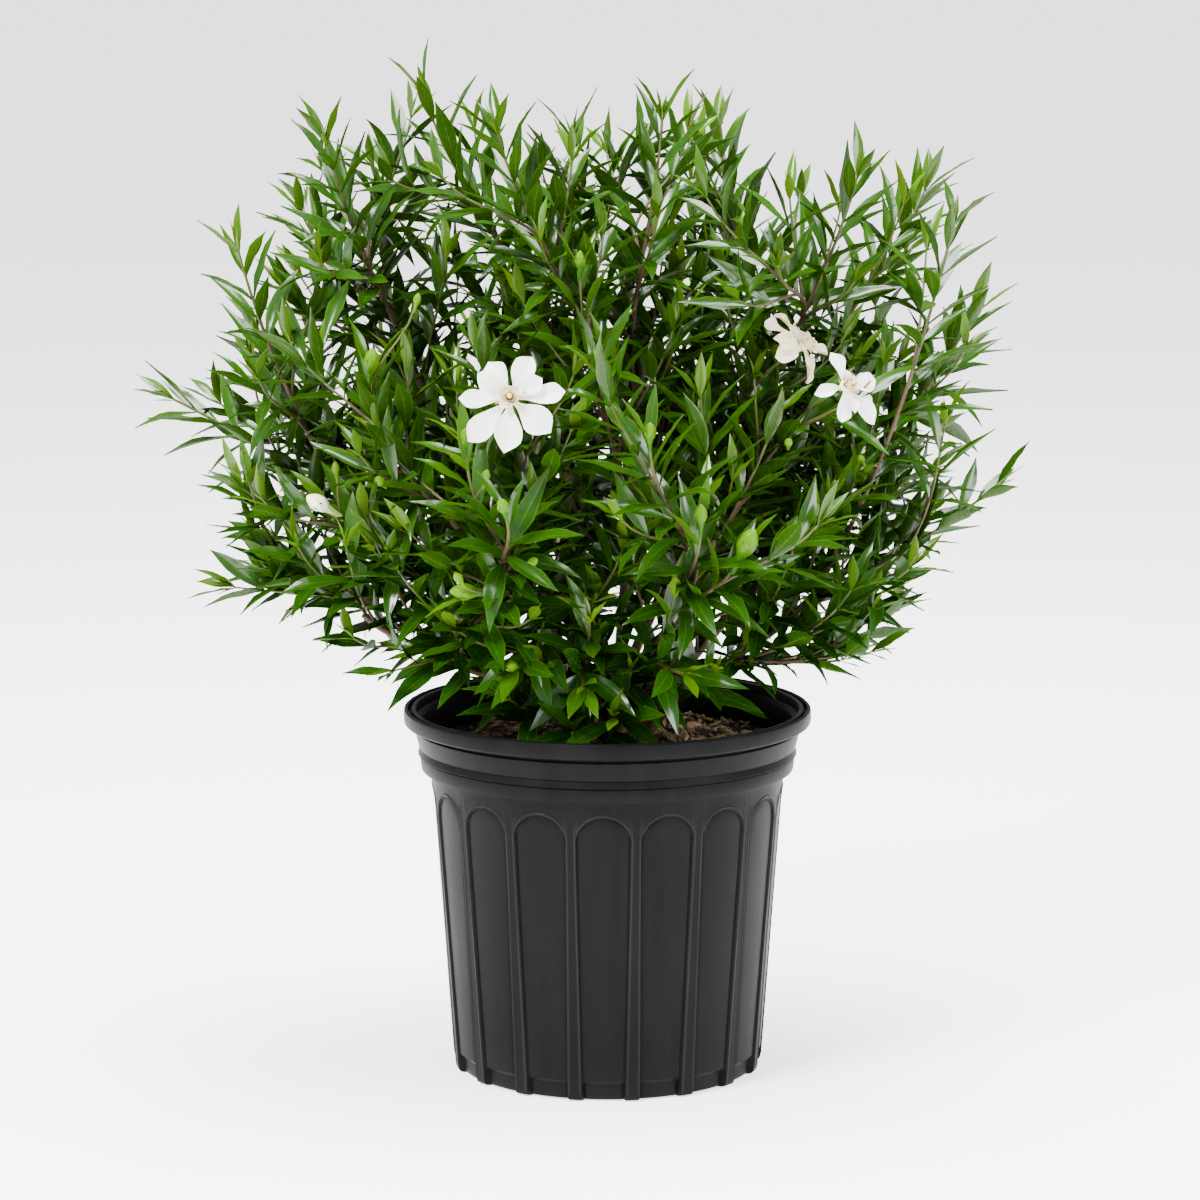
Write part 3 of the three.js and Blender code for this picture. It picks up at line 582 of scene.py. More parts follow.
# %% Bark chips
# Each trunk: its name, its foot in the mix and the ends of its three limbs
TRUNKS = [
    ("trunk_left", (-18, 3), [(-165, -38, 322), (-200, 12, 420), (-140, 40, 500)]),
    ("trunk_back", (0, 22), [(-45, 45, 520), (-85, 135, 420), (95, 130, 430)]),
    ("trunk_right", (25, 5), [(140, -30, 335), (185, 10, 430), (120, 40, 510)]),
    ("trunk_front", (5, -16), [(-75, -105, 380), (25, -20, 510), (70, -110, 385)]),
]
CHIPS, CHIP_FIELD, CHIP_WALL, FOOT_GAP = 2100, 122, 124, 6


def scatter(bm, master, matrix, **values):
    """Adds a copy of a master mesh to a bmesh, moved by a matrix, and marks its vertices."""
    first = len(bm.verts)
    bm.from_mesh(master)
    bm.verts.ensure_lookup_table()
    verts = bm.verts[first:]
    bmesh.ops.transform(bm, matrix=matrix, verts=verts)
    for name, value in values.items():
        layer = bm.verts.layers.float[name]
        for vert in verts:
            vert[layer] = value
    return verts


def master_mesh(name, bm):
    mesh = bpy.data.meshes.new(name)
    bm.to_mesh(mesh)
    bm.free()
    return mesh


chip_masters = []
for kind in range(6):
    bm = start_piece("tone")
    bmesh.ops.create_cube(bm, size=1)
    bmesh.ops.subdivide_edges(bm, edges=bm.edges, cuts=1, use_grid_fill=True)
    for vert in bm.verts:
        x, y, z = vert.co
        point = 1 - 0.75 * abs(2 * y) ** 2
        bump = noise.noise(Vector((x * 3, y * 5, z * 3 + 7.3 * kind)))
        vert.co = (x * point * (1 + 0.5 * bump), y * (1 + 0.2 * bump), z * (0.8 + 0.4 * point) + 0.25 * bump)
    chip_masters.append(master_mesh(f"chip_{kind}", bm))


def lay_chip(kind, x, y, z, turns, slab, tone):
    """Lays a chip at a place, turned about z, x and y, with the size of its slab."""
    matrix = Matrix.Translation((x, y, z))
    for angle, axis in zip(turns, "ZXY"):
        matrix = matrix @ Matrix.Rotation(angle, 4, axis)
    scatter(bm, chip_masters[kind % 6], matrix @ Matrix.Diagonal((*slab, 1)), tone=tone)


draw = draws(4211)
bm = start_piece("tone")
for i in range(CHIPS):
    r, a = CHIP_FIELD * math.sqrt(draw(0, 1)), draw(0, 2 * math.pi)
    x, y = r * math.cos(a), r * math.sin(a)
    show = draw(0, 1) < 0.45 + 0.3 * held((x + 20) / 100)
    long = draw(6, 14) if show and i % 4 == 0 else draw(2, 6.5)
    slab = (long * draw(0.2, 0.42), long, long * draw(0.12, 0.26))
    light = draw(0.45, 1) if show else 0.6 * draw(0, 0.75) ** 1.5
    yaw, lean, roll = draw(0, math.pi), draw(-0.55, 0.55), draw(-0.7, 0.7)
    nearest = min(math.dist((x, y), foot) for _, foot, _ in TRUNKS)
    if nearest > FOOT_GAP + long / 2 and r + long / 2 < CHIP_WALL:
        rest = soil_top(x, y) + 0.3 * slab[2] + abs(lean) * long * 0.2
        lay_chip(i, x, y, rest, (yaw, lean, roll), slab, light)
for x, y, yaw, slab, light in [(-63, 50, 1.9, (5, 19, 2), 1.0), (36, 50, 1.3, (5, 11, 4), 0.9),
                               (50, 46, 0.6, (6, 10, 5), 0.8), (61, 57, 2.1, (5, 12, 4), 1.0),
                               (84, 40, 0.9, (4, 14, 3), 0.9), (97, 30, 2.4, (4, 12, 3), 0.75)]:
    lay_chip(x, x, y, soil_top(x, y) + 2.2, (yaw, 0.2), slab, light)
keep("bark_chips", bm, chip, "bark")

# %% [markdown]
# Stems. A limb or a shoot is a smooth curve with two handles. In the photograph the trunks stand
# close together, lean outwards and carry the crown on a few bare limbs. The same numbers and the
# same rule as in the CAD source give the same curves here.

# %% Curves
HANDLE = 0.36  # how far a shoot's handles reach, as a share of the way from its start to its end


class Bow:
    """A cubic curve from start to end with handles along the two ways."""

    def __init__(self, start, start_way, end, end_way, reach=HANDLE):
        length = (end - start).length * reach
        self.points = (start, start + start_way * length, end - end_way * length, end)
        steps = [self.at(i / 200) for i in range(201)]
        self.length = sum((b - a).length for a, b in zip(steps, steps[1:]))

    def at(self, t):
        a, b, c, d = self.points
        u = 1 - t
        return a * u ** 3 + b * (3 * u * u * t) + c * (3 * u * t * t) + d * t ** 3

    def way(self, t):
        low = min(t, 0.99)
        return (self.at(low + 0.01) - self.at(low)).normalized()

    def samples(self, low):
        return [self.at(low + (1 - low) * i / 16) for i in range(17)]


def blend(a, b, share):
    return a.lerp(b, share).normalized()


def limb_curve(foot, end):
    start, end = Vector((*foot, SOIL + 3)), Vector(end)
    way = (end - start).normalized()
    return Bow(start, blend(UP, way, 0.55), end, blend(way, UP, 0.2), 0.34)


limbs = [limb_curve(foot, end) for _, foot, ends in TRUNKS for end in ends]
print("limbs", len(limbs), "longest", round(max(limb.length for limb in limbs)), "mm")

# %% [markdown]
# A stem's skin: a circle is extruded along the curve, and each new ring is moved from the last
# ring's frame to the next one's, so the tube never twists. The `green` attribute says how young
# the wood is there.

# %% Tube along a curve
def turned(x, y, z):
    """The turn that carries the three axes to three given directions."""
    return Matrix((x, y, z)).transposed().to_4x4()


def add_stem(bm, curve, radii, greens, sides, steps, wobble=0.0):
    """Adds a closed tube. Its radius and its green run from the first to the second value."""
    layer = bm.verts.layers.float["green"]
    normal = curve.way(0).orthogonal().normalized()
    verts = bmesh.ops.create_circle(bm, cap_ends=True, segments=sides, radius=1)["verts"]
    edges = edges_of(verts)
    last = Matrix.Identity(4)
    for i in range(steps + 1):
        if i:
            verts, edges = extrude_line(bm, edges)
        share = i / steps
        centre, way = curve.at(share), curve.way(share)
        normal = (normal - way * normal.dot(way)).normalized()
        radius = radii[0] + (radii[1] - radii[0]) * share
        radius *= 1 + wobble * noise.noise(centre * 0.11)
        ring = Matrix.Translation(centre) @ turned(normal, way.cross(normal), way) @ Matrix.Scale(radius, 4)
        bmesh.ops.transform(bm, matrix=ring @ last.inverted(), verts=verts)
        last = ring
        for vert in verts:
            vert[layer] = greens[0] + (greens[1] - greens[0]) * share
    bmesh.ops.contextual_create(bm, geom=edges)


# %% Trunks
noise.seed_set(7)  # without a seed, noise_vector would take its offsets from the clock
for order, (name, foot, _) in enumerate(TRUNKS):
    bm = start_piece("green")
    base = Bow(Vector((*foot, SOIL - 20)), UP, Vector((*foot, SOIL + 10)), UP, 0.33)
    add_stem(bm, base, (7.4, 5.6), (0, 0), 14, 6)
    for curve in limbs[3 * order:3 * order + 3]:
        add_stem(bm, curve, (4.6, 2.2), (0, 0.42), 12, 26, wobble=0.16)
    for vert in bm.verts:
        vert.co += 0.35 * noise.noise_vector(vert.co * 0.22)
    keep(name + "_bark", bm, bark, "bark", name, smooth=50)

# %% [markdown]
# Shoots. Each one ends at a tip read from the photograph or set behind it, and leaves the limb
# that it would grow from with the least bend. The table and the rule are those of the CAD source,
# so the finer shoot lies on the solid one. A name that starts with bloom or bud carries that, and
# one that is named after a trunk fills the crown behind the others.

# %% Table of shoots
SHOOTS = [
    ("left_low", (-216, -30, 345), (-1, -0.1, 0.1)), ("left_out", (-296, 15, 462), (-0.9, 0, 0.45)),
    ("left_mid", (-244, 85, 500)), ("left_high", (-246, -45, 568)), ("left_crown", (-205, 75, 582)),
    ("left_hang", (-124, -60, 300), (-1, -0.2, 0.1)), ("top_left", (-186, -55, 640)),
    ("top_far_left", (-124, 20, 668)), ("top_inner_left", (-72, -95, 650)),
    ("top_middle", (-24, 70, 636)), ("top_inner_right", (36, -50, 656)), ("top_right", (77, 85, 640)),
    ("right_crown", (166, -45, 618)), ("right_high", (220, 80, 600)), ("right_upper", (228, -80, 590)),
    ("right_mid", (252, 55, 516)), ("right_out", (264, -20, 408), (0.75, 0, 0.65)),
    ("right_low", (172, -45, 332)), ("right_hang", (158, -30, 289), (1, -0.1, 0.15)),
    ("front_hang_middle", (-16, -102, 285), (0, -1, -0.1)),
    ("front_hang_right", (50, -112, 295), (0.5, -1, 0.1)),
    ("bloom_front", (-62, -150, 480), (-0.05, -0.95, 0.3), 1),
    ("bloom_right", (150, -85, 480), (0.5, -0.8, 0.35), 0.85),
    ("bloom_old", (122, -50, 500), (0.75, -0.3, 0.5), 0.72),
    ("bud_white", (-186, -65, 398), (-0.7, -0.5, 0.5), 1),
    ("bud_left", (-157, -80, 490), (0.1, -0.3, 1), 0.95),
    ("bud_inner_left", (-92, -158, 452), (0, -0.4, 1), 0.7),
    ("bud_large", (86, -148, 378), (0.4, -0.3, 0.9), 1.15),
    ("bud_inner_right", (60, -164, 402), (0, -0.3, 1), 0.75),
    ("bud_front", (-66, -182, 412), (-0.2, -0.6, 0.8), 0.7),
    ("bud_lying", (-84, -134, 353), (-1, -0.3, 0.1), 1),
    ("bud_hang_left", (-61, -114, 300), (-0.4, -1, 0.2), 0.7),
    ("bud_top", (-18, -105, 562), (0, -0.2, 1), 0.65),
    ("bud_middle", (27, -176, 458), (0, -0.4, 1), 0.7),
    ("back_left", (-160, 180, 480)), ("back_inner_left", (-52, 215, 545)),
    ("back_inner_right", (70, 215, 528)), ("back_right", (175, 175, 465)),
    ("left_low", (-238, -8, 372)), ("top_left", (-150, 60, 612)), ("top_inner_right", (0, 35, 628)),
    ("right_crown", (112, -95, 562)), ("right_mid", (228, 130, 450)), ("back_left", (-205, 125, 395)),
    ("back_inner_left", (-20, 212, 425)), ("back_inner_right", (60, 150, 600)),
    ("back_right", (210, 125, 390)),
    ("trunk_back", (0, 155, 370)), ("trunk_back", (-104, 140, 330)), ("trunk_back", (-45, 105, 445)),
    ("trunk_right", (37, 90, 460)), ("trunk_right", (160, 98, 470)), ("trunk_right", (116, 60, 375)),
    ("trunk_left", (-150, 90, 448)), ("trunk_left", (-77, -18, 432)), ("trunk_front", (48, 30, 537)),
]


FORKS = (0.4, 0.5, 0.6, 0.7, 0.8, 0.9, 1)
BENDS = (0, 0.12, -0.12, 0.24, -0.24, 0.36, -0.36)
SHOOT_GAP = 8.8


class Shoot:
    """A stem with leaves. A main one has a solid, and may carry a bloom or a bud."""

    def __init__(self, spray, curve, size, seed, face=None, main=False, carries=False, over_mix=False):
        self.spray, self.curve, self.tip, self.size = spray, curve, curve.at(1), size
        self.seed, self.face, self.main = seed, face, main
        self.carries, self.over_mix = carries, over_mix


def choose_fork(spray, tip, taken):
    """The limb, and the place on it, that a shoot to this tip leaves with the least bend."""
    best = (math.inf, None, None)
    inner = spray.startswith("trunk")
    fitting = 100 if inner else 190
    for index, limb in enumerate(limbs):
        if inner and TRUNKS[index // 3][0] != spray:
            continue
        for step in FORKS:
            reach = tip - limb.at(step)
            cost = math.degrees(limb.way(step).angle(reach)) + 0.14 * abs(reach.length - fitting)
            if cost < best[0] and (index, step) not in taken:
                best = (cost, index, step)
    taken.add(best[1:])
    return limbs[best[1]], best[2]


def clear_bow(start, start_way, tip, tip_way, standing):
    """The curve, bent to one side if it must be, that keeps clear of the stems that stand."""
    side = (tip - start).cross(UP).normalized()
    best = (-1, None)
    for bend in BENDS:
        curve = Bow(start, blend(start_way, side, bend), tip, tip_way)
        gap = min((p - q).length for p in curve.samples(0.15) for q in standing)
        if gap > best[0]:
            best = (gap, curve)
        if gap > SHOOT_GAP:
            break
    return best[1]


# %% Grow the shoots
shoots, taken = [], set()
standing = [point for limb in limbs for point in limb.samples(0)]
for order, (spray, tip, *more) in enumerate(SHOOTS):
    tip = Vector(tip)
    parent = None if spray.startswith("trunk") else next((s for s in shoots if s.spray == spray), None)
    curve, step = (parent.curve, 0.5) if parent else choose_fork(spray, tip, taken)
    start = curve.at(step)
    way = (tip - start).normalized()
    face = Vector(more[0]).normalized() if more else blend(way, UP, 0.3)
    grown = clear_bow(start, blend(curve.way(step), way, 0.5), tip, face, standing)
    standing += grown.samples(0.1)
    shoots.append(Shoot(spray, grown, more[1] if len(more) > 1 else 1, 1009 + 97 * order, face, main=True,
                        carries=not parent and spray.startswith(("bloom", "bud"))))
bloom_shoots, bud_shoots = ([s for s in shoots if s.carries and s.spray.startswith(kind)]
                            for kind in ("bloom", "bud"))
print("shoots", len(shoots), "longest", round(max(s.curve.length for s in shoots)), "mm")

# %% [markdown]
# The solids have the main shoots only. Real stems branch again, so each one gets short side
# shoots here, turned by the golden angle from one to the next, and the limbs get some as well,
# which fill the inner crown. A side shoot is kept if its tip stays within the crown's outline; of
# those low on a limb and well out to a side, every other one is left out, because the photograph
# shows bare wood there. Two tables add what this rule doesn't reach: shoots at the foot of the
# trunks that hang over the mix, and three to the outermost low tips in the photograph.

# %% Side shoots
GOLDEN = math.radians(137.5)
CROWN_CENTRE, CROWN_HALF, CROWN_LIMIT = (-12, 25, 462), (290, 205, 232), 0.72


def skirt(x):
    """The lower edge of the crown, which rises outwards and more steeply on the right."""
    edge = 252 - 16 * max(0, 1 - abs(x) / 90)
    if x < 0:
        return edge + 0.55 * max(0, -x - 135)
    return edge + 0.55 * max(0, x - 130) + 0.8 * max(0, x - 200)


def within_crown(p, above_skirt):
    """Whether a tip is well inside a rounded box round the crown and high enough over its skirt."""
    reach = sum((abs(v - middle) / half) ** 2.6 for v, middle, half in zip(p, CROWN_CENTRE, CROWN_HALF))
    return p.z > skirt(p.x) + above_skirt and reach < CROWN_LIMIT


def side_bow(parent, t, turn, lean, length):
    """A curve that leaves another one at t, turned round it and leaning away from it."""
    start, way = parent.at(t), parent.way(t)
    side = Matrix.Rotation(turn, 3, way) @ way.orthogonal().normalized()
    out = blend(way * math.cos(lean) + side * math.sin(lean), UP, 0.22)
    return Bow(start, blend(way, out, 0.6), start + out * length, blend(out, UP, 0.35))


def aimed_bow(parent, t, tip, turn, lift):
    """A curve that leaves another one at t and ends at a given tip."""
    start, tip = parent.at(t), Vector(tip)
    way = (tip - start).normalized()
    return Bow(start, blend(parent.way(t), way, turn), tip, blend(way, UP, lift) if lift else way)


side_shoots, limb_shoots = [], []
for number, shoot in enumerate(shoots):
    draw = draws(3001 + 53 * number)
    for step in range(4):
        t = 0.26 + 0.16 * step + draw(-0.05, 0.05)
        curve = side_bow(shoot.curve, t, GOLDEN * (4 * number + step), draw(0.5, 0.9), draw(62, 100))
        if within_crown(curve.at(1), 25):
            side_shoots.append(Shoot(shoot.spray, curve, 0.86, 7001 + 31 * len(side_shoots)))
for number, limb in enumerate(limbs):
    draw = draws(5003 + 71 * number)
    for step in range(13):
        curve = side_bow(limb, 0.26 + 0.06 * step, GOLDEN * (13 * number + step),
                         draw(0.5, 1.0), draw(85, 140))
        if within_crown(curve.at(1), 30):
            limb_shoots.append(Shoot(TRUNKS[number // 3][0], curve, 0.92, 9001 + 37 * len(limb_shoots)))
limb_shoots = [shoot for order, shoot in enumerate(limb_shoots)
               if order % 2 or shoot.tip.z > 365 or abs(shoot.tip.x) < 100]
# The number of the limb, and the tip
FOOT_SHOOTS = [(9, (-22, -88, 252)), (10, (4, -96, 262)), (0, (-66, -82, 272)), (6, (72, -78, 290)),
               (9, (-44, -84, 300)), (11, (50, -84, 306)), (10, (-6, -84, 318)), (0, (-84, -48, 306)),
               (6, (92, -40, 300)), (10, (16, -78, 290))]
for order, (limb, tip) in enumerate(FOOT_SHOOTS):
    curve = aimed_bow(limbs[limb], 0.03 + 0.35 * (tip[2] - 250) / 200, tip, 0.7, 0.15)
    limb_shoots.append(Shoot(TRUNKS[limb // 3][0], curve, 0.95, 12007 + 41 * order, over_mix=True))
# The shoot that it leaves, the place along that one, and the tip
LOW_TIPS = [("left_low", 0.62, (-252, -34, 340)), ("right_hang", 0.5, (176, -62, 300)),
            ("left_hang", 0.6, (-142, -84, 292))]
for order, (spray, t, tip) in enumerate(LOW_TIPS):
    parent = next(s for s in shoots if s.spray == spray)
    side_shoots.append(Shoot(spray, aimed_bow(parent.curve, t, tip, 0.6, 0), 0.95, 15013 + 43 * order))
print("side shoots", len(side_shoots), "limb shoots", len(limb_shoots))

# %% [markdown]
# One leaf. A flat grid becomes a lance-shaped blade by moving its points: the outline, a fold
# along the midrib, the arch of the blade and a gentle wave of its margin. A copy, set a little
# lower and turned over, closes the underside. A few dozen faces are enough, because more than
# five thousand of these are placed. There are six grades of arch, each with four variants.

# %% Leaf masters
LEAF_WIDTH = 0.2
LEAF_ROWS = [0, 0.06, 0.17, 0.31, 0.46, 0.61, 0.76, 0.89, 1]
ARCH_GRADES = [0.03, 0.08, 0.14, 0.2, 0.27, 0.34]
LEAF_MARKS = ("age", "tint", "under")


def lance(s):
    """Half width of the blade, as a share of its widest place."""
    return max(0.1 * (1 - s), math.sin(math.pi * min(1, s) ** 0.92) ** 1.15)


def leaf_master(name, arch, kind):
    """One leaf of length 1: c runs across it from -1 to 1 and s along it from 0 to 1."""
    draw = draws(611 + 17 * kind)
    sweep, twist = draw(-0.12, 0.12), draw(-0.4, 0.4)
    waves, phase, fold = draw(1.2, 2.4), draw(0, 6.3), draw(0.25, 0.5)
    bm = start_piece(*LEAF_MARKS, blade=True)
    under = bm.verts.layers.float["under"]
    upper = bmesh.ops.create_grid(bm, x_segments=4, y_segments=8, size=0.5, calc_uvs=True)["verts"]
    lower = bmesh.ops.create_grid(bm, x_segments=2, y_segments=8, size=0.5, calc_uvs=True)["verts"]
    bmesh.ops.reverse_faces(bm, faces=[face for face in bm.faces if face.verts[0] in set(lower)])
    for sheet, drop in ((upper, 0), (lower, 0.014)):
        for vert in sheet:
            c = vert.co.x * 2
            s = LEAF_ROWS[round((vert.co.y + 0.5) * 8)]
            half = lance(s) * LEAF_WIDTH / 2
            wave = 0.16 * math.sin(waves * math.pi * 2 * s + phase + (1.5 if c > 0 else 0)) * c * c * half
            rise = (fold * abs(c) - 0.3 * fold * c * c) * half + wave
            lean = twist * s
            vert[under] = 1.0 if drop and abs(c) < 0.9 else 0.0
            vert.co = (c * half * math.cos(lean) + sweep * s * s, s - 0.35 * arch * s * s,
                       rise - arch * s * s + c * half * math.sin(lean) - drop * (1 - c * c))
    bmesh.ops.remove_doubles(bm, verts=bm.verts, dist=1e-5)
    for face in bm.faces:
        face.smooth = True
    for edge in bm.edges:
        edge.smooth = edge.calc_face_angle(0) < math.radians(70)
    return master_mesh(name, bm)


leaf_masters = [[leaf_master(f"leaf_{grade}_{kind}", arch, 4 * grade + kind) for kind in range(4)]
                for grade, arch in enumerate(ARCH_GRADES)]
print("leaf masters", 24, "faces each", len(leaf_masters[0][0].polygons))

# %% [markdown]
# Which leaves are kept. A leaf that would pass through the rim, the mix or a flower is left out, as
# is one that hides a bloom from the side that it faces, or a bloom or a bud from the side of the
# photograph, because there they stand clear of the leaves.

# %% What a leaf must stay clear of
low, high = (Vector(corner) / MM for corner in cad_box)
margin_box = (high - low) * 0.012
BLOOMS = [(s.tip + s.face * 15 * s.size, s.face, s.size) for s in bloom_shoots]
BUDS = [(s.tip, s.face, s.size) for s in bud_shoots]
EYE = Vector(camera.location) / MM
RIM_INSIDE, RIM_OUTSIDE, OVER_RIM, BESIDE_POT = 122, 144, 257, 200
# The ball round a flower that stays free, then the length and the radius of the tubes that stay
# free ahead of its face and towards the photograph's camera. Balls and radii are those of size 1
BLOOM_BALL, BLOOM_AHEAD, BLOOM_SIGHT = 26, (65, 37), (170, 35)
BUD_BALL, BUD_SIGHT = 9, (90, 12)


def in_tube(away, way, tube, size, near=0):
    """Whether a place, told from a flower, lies in the tube that runs along a way."""
    ahead, (far, radius) = away.dot(way), tube
    return near < ahead < far and (away - way * ahead).length < radius * size


def in_the_way(p, over_mix):
    """Whether a leaf's point is where no leaf may be: outside the crown, in the pot, at a flower."""
    radius = p.xy.length
    if p.z < (SOIL + 6 if over_mix else skirt(p.x)):
        return True
    if radius <= RIM_INSIDE and p.z < SOIL + 5 or radius < RIM_OUTSIDE + 2 and p.z < BESIDE_POT:
        return True
    if RIM_INSIDE < radius < RIM_OUTSIDE and p.z < OVER_RIM:
        return True
    if any(p[i] < low[i] - margin_box[i] or p[i] > high[i] + margin_box[i] for i in range(3)):
        return True
    for centre, face, size in BLOOMS:
        away, sight = p - centre, (EYE - centre).normalized()
        if (away.length < BLOOM_BALL * size or in_tube(away, face, BLOOM_AHEAD, size, near=-4)
                or in_tube(away, sight, BLOOM_SIGHT, size)):
            return True
    for centre, face, size in BUDS:
        away, sight = p - (centre + face * 10 * size), (EYE - centre).normalized()
        if away.length < BUD_BALL * size or in_tube(away, sight, BUD_SIGHT, size):
            return True
    return False


# %% [markdown]
# Leaves sit in pairs or in whorls of three, each whorl turned from the one before, wide at the
# foot of the shoot and close to the stem at its tip. The draws are made in the same order as in
# the CAD source, so that a leaf that has a solid lies on it.

# %% Leaves of one shoot
LEAF_LENGTH, WHORL_STEP, LEAFY_LENGTH = 54, 15, 185


def blade_matrix(spot, along, face, length, wide=1.0):
    """Where a blade lies: its y axis runs along it and its z axis out of its face."""
    size = Matrix.Diagonal((length * wide, length, length, 1))
    return Matrix.Translation(spot) @ turned(along.cross(face), along, face) @ size


def leaf_matrix(curve, t, around, spread, length, wide=1.0):
    way = curve.way(t)
    side = way.cross(UP).normalized()
    over = side.cross(way)
    out = side * math.cos(around) + over * math.sin(around)
    along = way * math.cos(spread) + out * math.sin(spread)
    face = way + UP * 0.75
    face = (face - along * face.dot(along)).normalized()
    return blade_matrix(curve.at(t), along, face, length, wide)


def place_leaf(bm, matrix, arch, kind, age, tint, over_mix):
    """Adds a leaf unless its middle or its tip is in the way. Gives how many leaves it added."""
    ends = [matrix @ Vector((0, s, -arch * s * s)) for s in (0.55, 1.0)]
    if any(in_the_way(p, over_mix) for p in ends):
        return 0
    grade = min(range(6), key=lambda g: abs(ARCH_GRADES[g] - arch))
    scatter(bm, leaf_masters[grade][kind], matrix, age=age, tint=tint)
    return 1


def add_leaves(bm, shoot):
    curve, length = shoot.curve, shoot.curve.length
    draw, extra = draws(shoot.seed), draws(shoot.seed + 13)
    leafy = min(LEAFY_LENGTH, 0.78 * length)
    whorls = max(3, int(leafy / WHORL_STEP + 0.5))
    per_whorl = 2 if draw(0, 1) < 0.5 else 3
    mood = extra(0, 1)
    size_here = 1 if shoot.main else shoot.size
    count = 0
    for whorl in range(whorls):
        share = whorl / (whorls - 1)
        t = 1 - (leafy / length) * (1 - share) - 0.004
        turn = (math.pi / per_whorl) * whorl + draw(-0.3, 0.3)
        for i in range(per_whorl):
            around = turn + 2 * math.pi * i / per_whorl + draw(-0.25, 0.25)
            spread = math.radians(56 - 32 * share ** 1.5 + draw(-9, 9))
            size = (0.86 + 0.26 * math.sin(math.pi * share ** 0.8) - 0.14 * share ** 5) * draw(0.86, 1.14)
            arch = [0.06, 0.14, 0.24, 0.34][int(draw(0, 4))] * (1 - 0.5 * share)
            age = held(1.1 * share ** 8 * (0.2 + 0.8 * mood) * extra(0.4, 1.1))
            wide = 1 + 0.22 * held((430 - curve.at(t).z) / 120)
            matrix = leaf_matrix(curve, t, around, spread, LEAF_LENGTH * size * size_here, wide)
            kind, tint = int(extra(0, 4)), 0.5 * mood + extra(0, 0.5)
            count += place_leaf(bm, matrix, arch, kind, age, tint, shoot.over_mix)
    if not shoot.carries:
        for i in range(3):
            length = 50 * (0.5 - 0.08 * i) * size_here
            matrix = leaf_matrix(curve, 0.99, 2.1 * i + mood, 0.16 + 0.12 * i, length, 0.75)
            count += place_leaf(bm, matrix, 0.05, i, 0.9, extra(0.4, 1), shoot.over_mix)
    return count


# %% Every spray: its stems and its leaves
def sepals(bm, tip, face, size):
    """The narrow green lobes of the calyx, round the foot of a bloom or a bud."""
    side = face.orthogonal().normalized()
    for i in range(6):
        out = Matrix.Rotation(math.pi * i / 3, 3, face) @ side
        along = (face + out * 0.34).normalized()
        up = (face - along * face.dot(along) - out * 0.2).normalized()
        up = (up - along * up.dot(along)).normalized()
        matrix = blade_matrix(tip + out * 1.2 * size, along, up, 15 * size)
        scatter(bm, leaf_masters[0][i % 4], matrix, age=0.75, tint=0.4)


total = 0
for spray in dict.fromkeys(s.spray for s in shoots):
    stems, blades = start_piece("green"), start_piece(*LEAF_MARKS, blade=True)
    for shoot in (s for s in shoots + side_shoots + limb_shoots if s.spray == spray):
        radii, greens, steps = ((1.9, 0.9), (0.35, 1.0), 14) if shoot.main else ((1.15, 0.7), (0.7, 1.0), 7)
        add_stem(stems, shoot.curve, radii, greens, 7, steps, wobble=0.2)
        total += add_leaves(blades, shoot)
        if shoot.carries:
            sepals(blades, shoot.tip, shoot.face, shoot.size)
    node = spray if spray.startswith("trunk") else "spray_" + spray
    keep(node + "_stems", stems, bark, "bark", node, smooth=60)
    keep(node + "_leaves", blades, leaf, "foliage", node)
print("leaves", total)

# %% [markdown]
# A bloom. Its outer petals lie almost flat, narrow at the base, broad beyond the middle and drawn
# to a small cusp. Shorter ones stand up inside them, and the innermost are still furled: a strip
# rolled into a loose spiral cup round the cream heart. Each other petal is a grid of its own, waved
# and twisted by a seeded draw, because no two look alike and there are few of them. The angles and
# lengths of the outer ones follow the photograph.

# %% Petals
PETAL_WIDTH = [(0, 0.1), (0.12, 0.12), (0.27, 0.26), (0.43, 0.58), (0.6, 0.92), (0.73, 1.0), (0.83, 0.88),
               (0.9, 0.62), (0.95, 0.3), (0.98, 0.12), (1, 0)]


def petal_half(s):
    for (a, wa), (b, wb) in zip(PETAL_WIDTH, PETAL_WIDTH[1:]):
        if s <= b:
            return wa + (wb - wa) * (s - a) / (b - a)
    return 0


def add_made(bm, made, matrix, **values):
    """Adds one bmesh to another, moved by a matrix, and marks its vertices."""
    mesh = master_mesh("made", made)
    scatter(bm, mesh, matrix, **values)
    bpy.data.meshes.remove(mesh)


